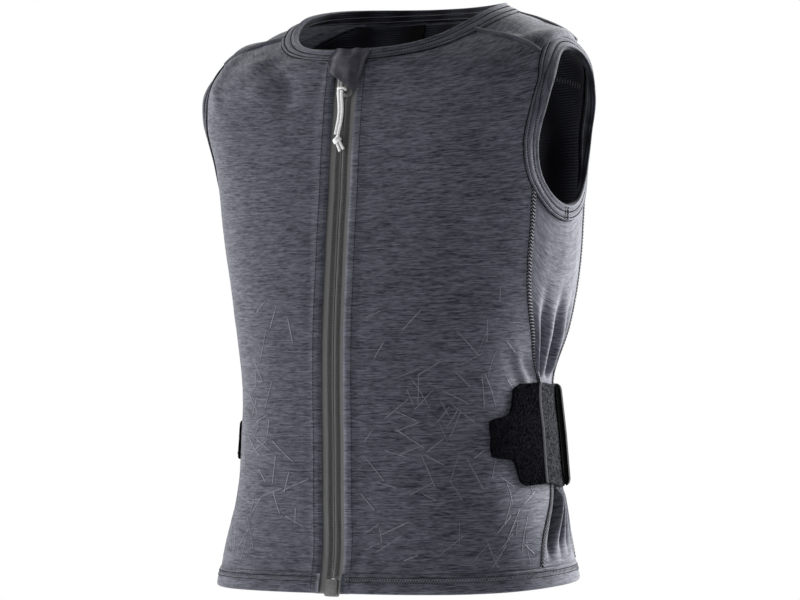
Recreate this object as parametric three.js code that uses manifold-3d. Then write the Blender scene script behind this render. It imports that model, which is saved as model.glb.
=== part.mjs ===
// A child's protective vest, shown as worn: two front panels on a zip, gathered side panels,
// shoulder yokes, a back panel with a protector behind its lining, bound edges and a waist belt.
// Millimetres, +Z up, the front faces -Y and +X is the wearer's left.
// The origin is the middle of the neck opening, level with the points where the neck meets the shoulders.
import * as THREE from "three";
import { mergeVertices } from "three/addons/utils/BufferGeometryUtils.js";
import Module from "manifold-3d";

const wasm = await Module();
wasm.setup();

// Driving sizes of the body of the vest
const vestLength = 440; // side of the neck to the bottom of the hem
const chestHalfWidth = 145;
const chestHalfDepth = 90;
const fabricThickness = 1.6;
const layerGap = 0.6; // between cloth that lies on other cloth
const seamGap = 0.5; // between cloth edges that meet at a seam
const cordGap = 0.35; // between the cord and what it touches

// Bindings and hem
const bindingWidth = 11;
const bindingThickness = 1.0;
const bindingGap = 0.8; // between a binding and the cloth edge it wraps
const hemHeight = 15;
const hemThickness = 2.6;

// Armhole and shoulder
const armholeTop = 31; // below the side of the neck
const armholeBottom = 156;
const armholeMiddle = 3; // degrees from the side, positive to the back
const armholeReach = 26; // degrees to each side of its middle
const armholeCut = 0.5;
const yokeFront = { arm: -12.5, neck: -23.5 }; // degrees from the side, where the yoke's front seam ends
const yokeBack = { arm: 17, neck: 40 };

// Zip
const zipOpening = 10; // from the middle to the edge of each front panel
const tapeHalfWidth = 15;
const tapeThickness = 1.0;
const tapeSlit = 0.35; // from the middle to the edge of each closed tape
const tapeParting = 2.6; // the same, above the slider
const coilWidth = 3.4;
const coilThickness = 1.6;
const sliderDrop = 58; // below the side of the neck
const sliderLength = 19;
const sliderWidth = 14.5;
const sliderPlate = 1.3;
const sliderCorner = 3.6;
const sliderPost = 1.9; // half the width of the wedge between the plates
const bridgeWidth = 2.6;
const bridgeBar = 1.2;
const bridgeSpan = 12;
const boxWidth = 11;
const boxLength = 13;
const boxOverhang = 2; // below the hem
const cordDiameter = 2.3;
const cordLength = 32;
const hitchDrop = 4; // the hitch's place below the slider's middle
const knotDiameter = 7.4;
const knotTail = 6;
const garageThickness = 2.0;

// Belt
const beltHeight = 77;
const beltTopDrop = 0.6545 * vestLength; // below the side of the neck
const beltStandOff = 0.8; // between the belt and the cloth it presses on
const tabThickness = 2.4;
const tabBase = 34; // forward from where the tab ends on the elastic
const tabNose = 24; // how much further the tab's nose reaches
const tabEnd = { foot: 3, head: 5.5 }; // degrees from the side, where the tab meets the elastic
const elasticWidth = 50;
const elasticThickness = 1.6;
const beltBackStart = { foot: 25, head: 27 }; // degrees from the side
const beltBackThickness = 5;

// Lining and protector
const liningThickness = 1.2;
const protectorThickness = 13;
const liningTapeWidth = 13;
const liningTapeLength = 62;
const liningTapeCentre = 25;

// Girths of the torso. Drops are shares of vestLength, widths of chestHalfWidth, depths of
// chestHalfDepth (negative is forward), each given at the side, the front and the back.
// Square is how much the girth bulges towards its corners.
const frontScoop = 0.9; // how much flatter than a slanting ring the front of a girth runs
const girths = [
  {
    name: "hem", side: 1, front: 1, back: 1,
    width: 0.99, sideDepth: -0.255, frontDepth: -1.26, backDepth: 0.73, square: 0.05,
  },
  {
    name: "hip", side: 0.931, front: 0.931, back: 0.931,
    width: 0.95, sideDepth: -0.245, frontDepth: -1.19, backDepth: 0.72, square: 0.05,
  },
  {
    name: "belt_foot", side: 0.839, front: 0.839, back: 0.839,
    width: 0.868, sideDepth: -0.18, frontDepth: -1.165, backDepth: 0.8, square: 0.05,
  },
  {
    name: "belt", side: 0.745, front: 0.745, back: 0.745,
    width: 0.835, sideDepth: -0.16, frontDepth: -1.14, backDepth: 0.83, square: 0.05,
  },
  {
    name: "belt_top", side: 0.652, front: 0.652, back: 0.652,
    width: 0.817, sideDepth: -0.155, frontDepth: -1.122, backDepth: 0.85, square: 0.05,
  },
  {
    name: "waist", side: 0.559, front: 0.559, back: 0.559,
    width: 0.886, sideDepth: -0.01, frontDepth: -1.089, backDepth: 0.99, square: 0.05,
  },
  {
    name: "rib", side: 0.452, front: 0.452, back: 0.452,
    width: 0.955, sideDepth: 0.03, frontDepth: -1.022, backDepth: 1.04, square: 0.05,
  },
  {
    name: "chest", side: 0.355, front: 0.36, back: 0.355,
    width: 1, sideDepth: 0.01, frontDepth: -0.956, backDepth: 0.985, square: 0.055,
  },
  {
    name: "underarm", side: 0.305, front: 0.325, back: 0.305,
    width: 1.01, sideDepth: 0.01, frontDepth: -0.925, backDepth: 0.98, square: 0.06,
  },
  {
    name: "armpit", side: 0.239, front: 0.268, back: 0.239,
    width: 1.045, sideDepth: 0.01, frontDepth: -0.889, backDepth: 0.97, square: 0.06,
  },
  {
    name: "arm", side: 0.159, front: 0.193, back: 0.159,
    width: 1.1, sideDepth: -0.035, frontDepth: -0.828, backDepth: 0.92, square: 0.06,
  },
  {
    name: "tip", side: 0.084, front: 0.141, back: 0.084,
    width: 1.06, sideDepth: -0.01, frontDepth: -0.778, backDepth: 0.88, square: 0.06,
  },
  {
    name: "shoulder", side: 0.05, front: 0.119, back: 0.048,
    width: 0.972, sideDepth: 0.03, frontDepth: -0.752, backDepth: 0.87, square: 0.05,
  },
  {
    name: "slope", side: 0.027, front: 0.097, back: 0.016,
    width: 0.817, sideDepth: 0.06, frontDepth: -0.732, backDepth: 0.89, square: 0.03,
  },
  {
    name: "collar", side: 0.012, front: 0.085, back: -0.002,
    width: 0.66, sideDepth: 0.09, frontDepth: -0.71, backDepth: 0.91, square: 0.01,
  },
  {
    name: "neck", side: -0.002, front: 0.073, back: -0.018,
    width: 0.57, sideDepth: 0.1, frontDepth: -0.695, backDepth: 0.92, square: 0.01,
  },
  {
    name: "rim", side: -0.014, front: 0.06, back: -0.032,
    width: 0.555, sideDepth: 0.1, frontDepth: -0.685, backDepth: 0.91, square: 0.01,
  },
];

// The front and back seams of a side panel, in degrees from the side, at shares of vestLength below the neck
const sideSeams = [
  { drop: 1, front: -12.5, back: 33 },
  { drop: 0.976, front: -10.5, back: 32 },
  { drop: 0.927, front: -6, back: 31 },
  { drop: 0.849, front: 9, back: 30 },
  { drop: 0.745, front: 10, back: 29 },
  { drop: 0.652, front: 8, back: 29 },
  { drop: 0.609, front: -2, back: 29 },
  { drop: 0.554, front: -11, back: 28 },
  { drop: 0.5, front: -16.5, back: 27 },
  { drop: 0.449, front: -19, back: 26 },
  { drop: 0.381, front: -20, back: 25 },
  { drop: 0.2, front: -20, back: 24 },
];

// Gathers of the side panels where the belt draws them in: across is a share of the panel's width,
// spread is a share of it too, depth is a share of gatherDepth, positive outwards
const gatherDepth = 7;
const gatherReach = 78; // how far they run from the belt
const gatherRun = 14; // how soon they are at their full depth
const gathersAbove = [
  { across: 0.2, spread: 0.13, depth: 0.45 },
  { across: 0.42, spread: 0.13, depth: -1 },
  { across: 0.62, spread: 0.12, depth: 0.6 },
  { across: 0.82, spread: 0.12, depth: -0.8 },
];
const gathersBelow = [
  { across: 0.16, spread: 0.1, depth: 0.35 },
  { across: 0.34, spread: 0.12, depth: -0.9 },
  { across: 0.52, spread: 0.11, depth: 0.8 },
  { across: 0.7, spread: 0.11, depth: -0.7 },
  { across: 0.86, spread: 0.1, depth: 0.4 },
];

// The outline of a belt tab: how far its edge has gone from base (0) to nose (1), at shares of its height
const tabOutline = [
  { height: 0, reach: -0.42 },
  { height: 0.03, reach: -0.2 },
  { height: 0.1, reach: -0.05 },
  { height: 0.2, reach: 0.12 },
  { height: 0.27, reach: 0.5 },
  { height: 0.31, reach: 0.88 },
  { height: 0.36, reach: 0.99 },
  { height: 0.5, reach: 1 },
  { height: 0.64, reach: 1 },
  { height: 0.69, reach: 0.9 },
  { height: 0.72, reach: 0.5 },
  { height: 0.77, reach: 0.16 },
  { height: 0.88, reach: -0.02 },
  { height: 0.97, reach: -0.16 },
  { height: 1, reach: -0.4 },
];

// The zip garage: across goes from its free end to its sewn end, foot and head are shares of
// garageDrop below the neck
const garageLeft = 16.5;
const garageRight = 20;
const garageDrop = 34;
const garageOutline = [
  { across: 0, foot: 0.36, head: 0.14 },
  { across: 0.07, foot: 0.44, head: 0.03 },
  { across: 0.17, foot: 0.54, head: -0.05 },
  { across: 0.32, foot: 0.65, head: -0.04 },
  { across: 0.45, foot: 0.76, head: -0.03 },
  { across: 0.58, foot: 0.88, head: -0.03 },
  { across: 0.7, foot: 0.97, head: -0.04 },
  { across: 0.8, foot: 1, head: -0.04 },
  { across: 1, foot: 0.6, head: -0.04 },
];

const degrees = Math.PI / 180;
const mix = (a, b, t) => a + (b - a) * t;
const smooth = (t) => {
  const c = Math.min(1, Math.max(0, t));
  return c * c * (3 - 2 * c);
};
const range = (count) => Array.from({ length: count + 1 }, (_, i) => i / count);

// A smooth curve through the rows of a table, with key as its knots
function curveThrough(rows, key, column, x) {
  const last = rows.length - 1;
  const increasing = rows[last][key] > rows[0][key];
  const knot = (i) => (increasing ? rows[i][key] : -rows[i][key]);
  const at = Math.min(knot(last), Math.max(knot(0), increasing ? x : -x));
  let k = 0;
  while (k < last - 1 && at > knot(k + 1)) k++;
  const slope = (i) => (rows[i + 1][column] - rows[i][column]) / (knot(i + 1) - knot(i));
  const tangent = (i) => {
    if (i === 0) return slope(0);
    if (i === last) return slope(last - 1);
    const before = knot(i) - knot(i - 1);
    const after = knot(i + 1) - knot(i);
    return (slope(i - 1) * after + slope(i) * before) / (before + after);
  };
  const span = knot(k + 1) - knot(k);
  const t = (at - knot(k)) / span;
  const h = (1 - t) * (1 - t);
  return (
    (1 + 2 * t) * h * rows[k][column] +
    t * h * span * tangent(k) +
    t * t * (3 - 2 * t) * rows[k + 1][column] +
    t * t * (t - 1) * span * tangent(k + 1)
  );
}

// Each girth gets its station, the distance walked up the body from the hem
function stationed(rows) {
  let station = 0;
  return rows.map((row, i) => {
    if (i > 0) {
      const before = rows[i - 1];
      const walked = (drop, out, size) =>
        Math.hypot((row[drop] - before[drop]) * vestLength, (row[out] - before[out]) * size);
      const side = walked("side", "width", chestHalfWidth);
      const front = walked("front", "frontDepth", chestHalfDepth);
      station += (side + front) / 2;
    }
    return { ...row, station };
  });
}
const body = stationed(girths);
const columns = ["side", "front", "back", "width", "sideDepth", "frontDepth", "backDepth", "square"];

function girthAt(station) {
  const girth = {};
  for (const column of columns) girth[column] = curveThrough(body, "station", column, station);
  return girth;
}

// The point of the cloth's inner face at an angle round the body (0 the side, -90 the front) and a station
function bodyPoint(angle, station) {
  const g = girthAt(station);
  const a = angle * degrees;
  const across = (Math.cos(a) - g.square * Math.cos(3 * a)) / (1 - g.square);
  const forward = (Math.sin(a) + g.square * Math.sin(3 * a)) / (1 - g.square);
  const ahead = Math.sin(a) < 0;
  const depth = ahead ? g.sideDepth - g.frontDepth : g.backDepth - g.sideDepth;
  const turn = Math.sin(a);
  const lean = ((g.back - g.front) / 2) * turn + ((g.front + g.back) / 2 - g.side) * turn ** 2;
  const scoop = ahead ? frontScoop * (g.front - g.side) * turn ** 2 * (1 + turn) : 0;
  return new THREE.Vector3(
    g.width * chestHalfWidth * across,
    (g.sideDepth + depth * forward) * chestHalfDepth,
    -(g.side + lean + scoop) * vestLength,
  );
}

const probe = 0.05;
function slopes(angle, station) {
  const around = bodyPoint(angle + probe, station).sub(bodyPoint(angle - probe, station));
  const up = bodyPoint(angle, station + probe).sub(bodyPoint(angle, station - probe));
  around.divideScalar(2 * probe);
  up.divideScalar(2 * probe);
  return { around, up, normal: around.clone().cross(up).normalize() };
}

// A point at a height off the cloth's inner face, outwards. Side is 1 for the wearer's left and -1
// for the right.
function clothPoint(angle, station, height, side = 1) {
  const point = bodyPoint(angle, station).addScaledVector(slopes(angle, station).normal, height);
  point.x *= side;
  return point;
}

// The station where the side of the body is so far below the neck
function stationAtDrop(drop) {
  let low = 0;
  let high = body[body.length - 1].station;
  for (let i = 0; i < 40; i++) {
    const middle = (low + high) / 2;
    if (girthAt(middle).side * vestLength > drop) low = middle;
    else high = middle;
  }
  return (low + high) / 2;
}

// The angle near the front (-1) or back (1) where the cloth is so far to the wearer's left of the middle
function angleAtX(x, station, end = -1) {
  let low = 90 * end;
  let high = 20 * end;
  for (let i = 0; i < 40; i++) {
    const middle = (low + high) / 2;
    if (bodyPoint(middle, station).x < x) low = middle;
    else high = middle;
  }
  return (low + high) / 2;
}

// The angle reached by walking a distance round the body
function walkAround(angle, station, distance, steps = 6) {
  let at = angle;
  for (let i = 0; i < steps; i++) at += distance / steps / slopes(at, station).around.length();
  return at;
}

// The station reached by walking a distance up the middle of the front
function walkFront(station, distance, steps = 8) {
  let at = station;
  for (let i = 0; i < steps; i++) at += distance / steps / slopes(-90, at).up.length();
  return at;
}

const neckStation = body.find((g) => g.name === "neck").station;
const hemTop = hemHeight;
const armhole = {
  low: stationAtDrop(armholeBottom),
  high: stationAtDrop(armholeTop),
};
armhole.middle = (armhole.low + armhole.high) / 2;
armhole.half = (armhole.high - armhole.low) / 2;

// Panels are cut a little wider round the armhole than the binding that wraps them
const cutHalf = armhole.half + armholeCut;
const cutReach = armholeReach * (1 + armholeCut / armhole.half);

// The front (-1) or back (1) edge of the panels round the armhole at a station
function armholeAngle(station, end) {
  const share = Math.min(1, Math.abs(station - armhole.middle) / cutHalf);
  return armholeMiddle + end * cutReach * Math.sqrt(1 - share * share);
}
// The lower (-1) or upper (1) edge of the panels round the armhole at an angle
function armholeStation(angle, end) {
  const share = Math.min(1, Math.abs(angle - armholeMiddle) / cutReach);
  return armhole.middle + end * cutHalf * Math.sqrt(1 - share * share);
}
function seamAngle(station, column) {
  return curveThrough(sideSeams, "drop", column, girthAt(station).side);
}

// The station where a side seam runs into the lower edge of the armhole
function seamTop(column, end) {
  let low = armhole.low;
  let high = armhole.middle;
  for (let i = 0; i < 40; i++) {
    const middle = (low + high) / 2;
    const gap = (seamAngle(middle, column) - armholeAngle(middle, end)) * end;
    if (gap > 0) low = middle;
    else high = middle;
  }
  return (low + high) / 2;
}
const frontSeamTop = seamTop("front", -1);
const backSeamTop = seamTop("back", 1);
const yokeFrontStation = armholeStation(yokeFront.arm, 1);
const yokeBackStation = armholeStation(yokeBack.arm, 1);

// A yoke's seam bows away from the arm: its angle at a share of the way up to the neck
const yokeSeam = (yoke, share) => mix(yoke.arm, yoke.neck, share ** 0.6);

// The outer edge of a front panel (-1) or of the back panel (1) at a station
function panelEdge(station, end) {
  const seam = end < 0 ? frontSeamTop : backSeamTop;
  const yokeStation = end < 0 ? yokeFrontStation : yokeBackStation;
  const yoke = end < 0 ? yokeFront : yokeBack;
  if (station <= seam) return seamAngle(station, end < 0 ? "front" : "back");
  if (station <= yokeStation) return armholeAngle(station, end);
  return yokeSeam(yoke, (station - yokeStation) / (neckStation - yokeStation));
}

// A solid lofted through loops of points. Caps are triangles of point numbers for its two ends, and
// none closes it on itself. From point turned on, each quad is cut by its other diagonal.
function loft(loops, caps, turned = Infinity) {
  const count = loops[0].length;
  const points = loops.flat();
  const index = [];
  const spans = caps ? loops.length - 1 : loops.length;
  for (let j = 0; j < spans; j++) {
    const near = j * count;
    const far = ((j + 1) % loops.length) * count;
    for (let i = 0; i < count; i++) {
      const next = (i + 1) % count;
      if (i < turned) index.push(near + i, near + next, far + next, near + i, far + next, far + i);
      else index.push(near + i, near + next, far + i, near + next, far + next, far + i);
    }
  }
  if (caps) {
    const last = (loops.length - 1) * count;
    for (const [a, b, c] of caps) index.push(a, c, b, last + a, last + b, last + c);
  }
  let volume = 0;
  for (let i = 0; i < index.length; i += 3) {
    const [a, b, c] = [points[index[i]], points[index[i + 1]], points[index[i + 2]]];
    volume += a.dot(b.clone().cross(c));
  }
  if (volume < 0) index.reverse();
  const geometry = new THREE.BufferGeometry().setFromPoints(points);
  geometry.setIndex(index);
  geometry.computeVertexNormals();
  return geometry;
}

// A piece of cloth: place(s, t) gives its angle and station, and low and high its two faces, as heights
function sheet({ across: shares, rows, place, low, high, side = 1 }) {
  const loops = rows.map((t) => {
    const face = (height, s) => {
      const [angle, station] = place(s, t);
      return clothPoint(angle, station, typeof height === "function" ? height(s, t) : height, side);
    };
    return [...shares.map((s) => face(high, s)), ...[...shares].reverse().map((s) => face(low, s))];
  });
  const caps = [];
  const last = 2 * shares.length - 1;
  for (let i = 0; i + 1 < shares.length; i++) {
    caps.push([i, i + 1, last - i - 1]);
    caps.push([i, last - i - 1, last - i]);
  }
  return loft(loops, caps, shares.length);
}

// A strip that follows an edge of the cloth: each profile point is [distance in from the edge, height]
function edging({ path, profile, closed, side = 1 }) {
  const loops = path.map(({ angle, station, inward }) => {
    const { around, up, normal } = slopes(angle, station);
    const tangent = around.clone().multiplyScalar(inward.along[0]).addScaledVector(up, inward.along[1]);
    const cross = normal.clone().cross(tangent).normalize();
    // cross, split into its parts round and up the body
    const aa = around.dot(around);
    const uu = up.dot(up);
    const au = around.dot(up);
    const share = aa * uu - au * au;
    const turn = (cross.dot(around) * uu - cross.dot(up) * au) / share;
    const climb = (cross.dot(up) * aa - cross.dot(around) * au) / share;
    return profile.map(([distance, height]) => {
      const d = distance * inward.sign;
      return clothPoint(angle + turn * d, station + climb * d, height, side);
    });
  });
  const flat = profile.map(([x, y]) => new THREE.Vector2(x, y));
  return loft(loops, closed ? null : THREE.ShapeUtils.triangulateShape(flat, []));
}

// The folded section of a binding that wraps a cloth edge
function bindingProfile() {
  const inside = fabricThickness + bindingGap;
  const outside = inside + bindingThickness;
  const under = -bindingGap;
  const below = under - bindingThickness;
  const fold = bindingGap + bindingThickness;
  const half = bindingWidth / 2;
  return [
    [bindingWidth, inside],
    [bindingWidth, outside],
    [half, outside],
    [-fold * 0.7, outside],
    [-fold, mix(outside, below, 0.5)],
    [-fold * 0.7, below],
    [half, below],
    [bindingWidth, below],
    [bindingWidth, under],
    [half, under],
    [-bindingGap, under],
    [-bindingGap, inside],
    [half, inside],
  ];
}

const heather = new THREE.MeshStandardMaterial({ color: 0x44464f, roughness: 0.85 });
const bindingCloth = new THREE.MeshStandardMaterial({ color: 0x4c4e57, roughness: 0.8 });
const tapeCloth = new THREE.MeshStandardMaterial({ color: 0x5a5c5e, roughness: 0.75 });
const darkPlastic = new THREE.MeshStandardMaterial({ color: 0x54565a, roughness: 0.45 });
const paleCord = new THREE.MeshStandardMaterial({ color: 0xc9cacb, roughness: 0.7 });
const hookAndLoop = new THREE.MeshStandardMaterial({ color: 0x111116, roughness: 0.95 });
const webbing = new THREE.MeshStandardMaterial({ color: 0x3c434e, roughness: 0.85 });
const blackFoam = new THREE.MeshStandardMaterial({ color: 0x0c0c0e, roughness: 0.7 });
const meshLining = new THREE.MeshStandardMaterial({ color: 0x101116, roughness: 0.9 });

const vest = new THREE.Group();
const named = (name, geometry, material) => {
  const mesh = new THREE.Mesh(geometry, material);
  mesh.name = name;
  vest.add(mesh);
  return mesh;
};

// The rows of the body's panels. Each is one station up to the belt's top, then a share of the way to
// the armhole, then of the way past it, then of the way to the neck, so that rows meet at every seam.
const beltFootStation = stationAtDrop(beltTopDrop + beltHeight);
const beltHeadStation = stationAtDrop(beltTopDrop);
const beltMargin = 1.5;
const panelFoot = hemTop + seamGap / 2;
const lowRows = [
  ...range(4).map((t) => mix(panelFoot, beltFootStation - beltMargin, t)),
  ...range(4).slice(1).map((t) => mix(beltFootStation - beltMargin, beltHeadStation + beltMargin, t)),
];
const beltRow = lowRows[lowRows.length - 1];
const sideRows = range(7).slice(1);
const armRows = [0.18, 0.36, 0.53, 0.68, 0.81, 0.92, 1];
const neckRows = [0.1, 0.22, 0.38, 0.55, 0.71, 0.86, 1];

// Columns of a panel, closer together towards its armhole
const panelColumns = [0, 0.07, 0.24, 0.45, 0.65, 0.8, 0.91, 0.96, 1];
const backColumns = [0, 0.04, 0.1, 0.2, 0.35, 0.5, 0.65, 0.8, 0.9, 0.96, 1];

// The edge of a sheet, set back from a seam by half the gap
const setBack = (angle, station, sign) =>
  angle + (sign * seamGap) / 2 / slopes(angle, station).around.length();

function panelRows(seamStation, yokeStation) {
  return [
    ...lowRows,
    ...sideRows.map((t) => mix(beltRow, seamStation, t)),
    ...armRows.map((t) => mix(seamStation, yokeStation, t)),
    ...neckRows.map((t) => mix(yokeStation, neckStation, t)),
  ];
}

function frontPanel(side) {
  const place = (s, station) => {
    const inner = angleAtX(zipOpening, station);
    const outer = setBack(panelEdge(station, -1), station, -1);
    return [mix(inner, outer, s), station];
  };
  const rows = panelRows(frontSeamTop, yokeFrontStation);
  return sheet({ across: panelColumns, rows, place, low: 0, high: fabricThickness, side });
}

function backPanel() {
  return sheet({ across: backColumns, rows: backRows, place: backPlace, low: 0, high: fabricThickness });
}

// How far the gathers lift or sink a side panel
function gather(across, station) {
  const drop = girthAt(station).side * vestLength;
  const above = drop < beltTopDrop;
  const away = above ? beltTopDrop - drop : drop - beltTopDrop - beltHeight;
  if (away <= 2 * beltMargin) return 0;
  const room = above ? gatherReach : Math.min(gatherReach, vestLength - hemHeight - beltTopDrop - beltHeight);
  const strength = smooth(away / gatherRun) * smooth((1 - away / room) * 1.4);
  const folds = above ? gathersAbove : gathersBelow;
  let height = 0;
  for (const { across: centre, spread, depth } of folds) {
    height += depth * gatherDepth * Math.exp(-(((across - centre) / spread) ** 2));
  }
  return height * strength * smooth(across / 0.1) * smooth((1 - across) / 0.1);
}

function sidePanel(side) {
  const front = seamAngle(frontSeamTop, "front");
  const back = seamAngle(backSeamTop, "back");
  // a row is a station up to the belt, and beyond it 1 more than a share of the way to the armhole
  const rows = [...lowRows.map((station) => ({ station })), ...sideRows.map((share) => ({ share }))];
  const height = (row, end) => row.station ?? mix(beltRow, end, row.share);
  const place = (s, row) => {
    const top = armholeStation(mix(front, back, s), -1);
    const frontStation = height(row, frontSeamTop);
    const backStation = height(row, backSeamTop);
    const first = setBack(seamAngle(frontStation, "front"), frontStation, 1);
    const second = setBack(seamAngle(backStation, "back"), backStation, -1);
    return [mix(first, second, s), height(row, top)];
  };
  const lifted = (base) => (s, row) => base + gather(s, place(s, row)[1]);
  return sheet({ across: range(10), rows, place, low: lifted(0), high: lifted(fabricThickness), side });
}

function shoulderYoke(side) {
  const place = (s, t) => {
    const start = armholeStation(mix(yokeFront.arm, yokeBack.arm, s), 1);
    const first = setBack(yokeSeam(yokeFront, t), mix(yokeFrontStation, neckStation, t), 1);
    const second = setBack(yokeSeam(yokeBack, t), mix(yokeBackStation, neckStation, t), -1);
    return [mix(first, second, s), mix(start, neckStation, t)];
  };
  const rows = [0, ...neckRows];
  return sheet({ across: range(8), rows, place, low: 0, high: fabricThickness, side });
}

function neckBinding() {
  const start = angleAtX(zipOpening, neckStation);
  const path = range(30).map((share) => ({
    angle: mix(start, 180 - start, share),
    station: neckStation,
    inward: { along: [1, 0], sign: -1 },
  }));
  return edging({ path, profile: bindingProfile(), closed: false });
}

function armholeBinding(side) {
  const count = 26;
  const path = [];
  for (let i = 0; i < count; i++) {
    const turn = (i / count) * 2 * Math.PI;
    path.push({
      angle: armholeMiddle + armholeReach * Math.cos(turn),
      station: armhole.middle + armhole.half * Math.sin(turn),
      inward: { along: [-armholeReach * Math.sin(turn), armhole.half * Math.cos(turn)], sign: -1 },
    });
  }
  return edging({ path, profile: bindingProfile(), closed: true, side });
}

function hemBand() {
  const place = (s, station) => {
    const start = angleAtX(zipOpening, station);
    return [mix(start, 180 - start, s), station];
  };
  const rows = [0, hemTop - seamGap / 2];
  return sheet({ across: range(30), rows, place, low: 0, high: hemThickness });
}

// Heights of the zip's layers, which lie behind the front panels
const tapeHigh = -layerGap;
const tapeLow = tapeHigh - tapeThickness;
const coilHigh = tapeLow - layerGap;
const coilLow = coilHigh - coilThickness;
const boxTop = walkFront(0, boxLength - boxOverhang);
const tapeTop = walkFront(neckStation, -bindingWidth - 2 * bindingGap);

// The station where the front of the body is so far below the neck
function stationAtFrontDrop(drop) {
  let low = 0;
  let high = body[body.length - 1].station;
  for (let i = 0; i < 40; i++) {
    const middle = (low + high) / 2;
    if (girthAt(middle).front * vestLength > drop) low = middle;
    else high = middle;
  }
  return (low + high) / 2;
}
const sliderStation = stationAtFrontDrop(sliderDrop);
const sliderFoot = walkFront(sliderStation, -sliderLength / 2);

// How far the inner edge of a tape or coil is from the middle
function tapeInner(station) {
  if (station <= boxTop + layerGap) return boxWidth / 2 + layerGap;
  return mix(tapeSlit, tapeParting, smooth((station - sliderFoot) / (sliderStation - sliderFoot)));
}

function zipTape(side) {
  const step = boxTop + layerGap;
  const rows = [
    0,
    step,
    step + layerGap,
    ...lowRows.filter((station) => station > step + 2 * layerGap),
    ...range(8).slice(1).map((t) => mix(beltRow, sliderFoot, t)),
    ...range(4).slice(1).map((t) => mix(sliderFoot, tapeTop, t)),
  ];
  const place = (s, station) => [angleAtX(mix(tapeInner(station), tapeHalfWidth, s), station), station];
  return sheet({ across: [0, 1], rows, place, low: tapeLow, high: tapeHigh, side });
}

function zipCoil(side) {
  const foot = boxTop + 2 * layerGap;
  const rows = [
    ...lowRows.filter((station) => station > foot),
    ...range(6).slice(1).map((t) => mix(beltRow, sliderFoot - layerGap, t)),
  ];
  const place = (s, station) => [angleAtX(mix(tapeSlit, coilWidth, s), station), station];
  return sheet({ across: [0, 1], rows: [foot, ...rows], place, low: coilLow, high: coilHigh, side });
}

// A frame on the front of the vest: x to the wearer's left, y up the zip, z out of it
function frontFrame(station, height) {
  const { up, normal } = slopes(-90, station);
  const out = normal.clone();
  const climb = up.clone().normalize();
  const left = new THREE.Vector3(1, 0, 0);
  const frame = new THREE.Matrix4().makeBasis(left, climb, out);
  return frame.setPosition(bodyPoint(-90, station).addScaledVector(out, height));
}

// Joining solids that are one piece
function solid(geometry) {
  const bare = geometry.index ? geometry.toNonIndexed() : geometry.clone();
  bare.deleteAttribute("normal");
  bare.deleteAttribute("uv");
  const merged = mergeVertices(bare, 1e-4);
  return new wasm.Manifold(
    new wasm.Mesh({
      numProp: 3,
      vertProperties: merged.attributes.position.array,
      triVerts: new Uint32Array(merged.index.array),
    }),
  );
}
function geometryOf(manifold) {
  const mesh = manifold.getMesh();
  const geometry = new THREE.BufferGeometry();
  geometry.setAttribute("position", new THREE.BufferAttribute(new Float32Array(mesh.vertProperties), 3));
  geometry.setIndex(new THREE.BufferAttribute(new Uint32Array(mesh.triVerts), 1));
  geometry.computeVertexNormals();
  return geometry;
}
const joined = (geometries) => geometryOf(geometries.map(solid).reduce((a, b) => a.add(b)));

// A plate with rounded corners, from z low to high, shaped by half widths at its foot and its head
function roundedPlate(foot, head, length, corner, low, high) {
  const outline = new THREE.Shape();
  const half = length / 2;
  outline.moveTo(-foot + corner, -half);
  outline.lineTo(foot - corner, -half);
  outline.quadraticCurveTo(foot, -half, foot, -half + corner);
  outline.lineTo(head, half - corner);
  outline.quadraticCurveTo(head, half, head - corner, half);
  outline.lineTo(-head + corner, half);
  outline.quadraticCurveTo(-head, half, -head, half - corner);
  outline.lineTo(-foot, -half + corner);
  outline.quadraticCurveTo(-foot, -half, -foot + corner, -half);
  const depth = high - low;
  const plate = new THREE.ExtrudeGeometry(outline, { depth, bevelEnabled: false, curveSegments: 3 });
  return plate.translate(0, 0, low);
}

// Heights of the slider, measured from the cloth's inner face
const sliderTopLow = tapeHigh + layerGap;
const sliderTopHigh = sliderTopLow + sliderPlate;
const sliderBackHigh = coilLow - layerGap;
const sliderBackLow = sliderBackHigh - sliderPlate;
const bridgeHeight = cordDiameter + 2 * cordGap;

function zipSlider() {
  const half = sliderWidth / 2;
  const plate = (wide, low) => roundedPlate(wide, wide, sliderLength, sliderCorner, low, low + sliderPlate);
  const front = plate(half, sliderTopLow);
  const back = plate(half * 0.8, sliderBackLow);
  const postLength = sliderLength * 0.32;
  const post = roundedPlate(0.4, sliderPost, postLength, 0.3, sliderBackHigh - 0.4, sliderTopLow + 0.4);
  post.translate(0, (sliderLength - postLength) / 2 - 1.2, 0);
  const bridge = new THREE.Shape();
  const reach = bridgeSpan / 2;
  const leg = bridgeBar;
  const top = bridgeHeight + bridgeBar;
  bridge.moveTo(-reach - leg, -0.4);
  bridge.lineTo(-reach, -0.4);
  bridge.lineTo(-reach + leg, bridgeHeight);
  bridge.lineTo(reach - leg, bridgeHeight);
  bridge.lineTo(reach, -0.4);
  bridge.lineTo(reach + leg, -0.4);
  bridge.lineTo(reach, top - leg / 2);
  bridge.lineTo(reach - leg, top);
  bridge.lineTo(-reach + leg, top);
  bridge.lineTo(-reach, top - leg / 2);
  const arch = new THREE.ExtrudeGeometry(bridge, { depth: bridgeWidth, bevelEnabled: false });
  arch.translate(0, 0, -bridgeWidth / 2);
  // the arch stands along the zip, out of the front plate
  arch.applyMatrix4(new THREE.Matrix4().makeBasis(
    new THREE.Vector3(0, 1, 0),
    new THREE.Vector3(0, 0, 1),
    new THREE.Vector3(1, 0, 0),
  ));
  arch.translate(0, 0, sliderTopHigh);
  return joined([front, back, post, arch]);
}

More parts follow.
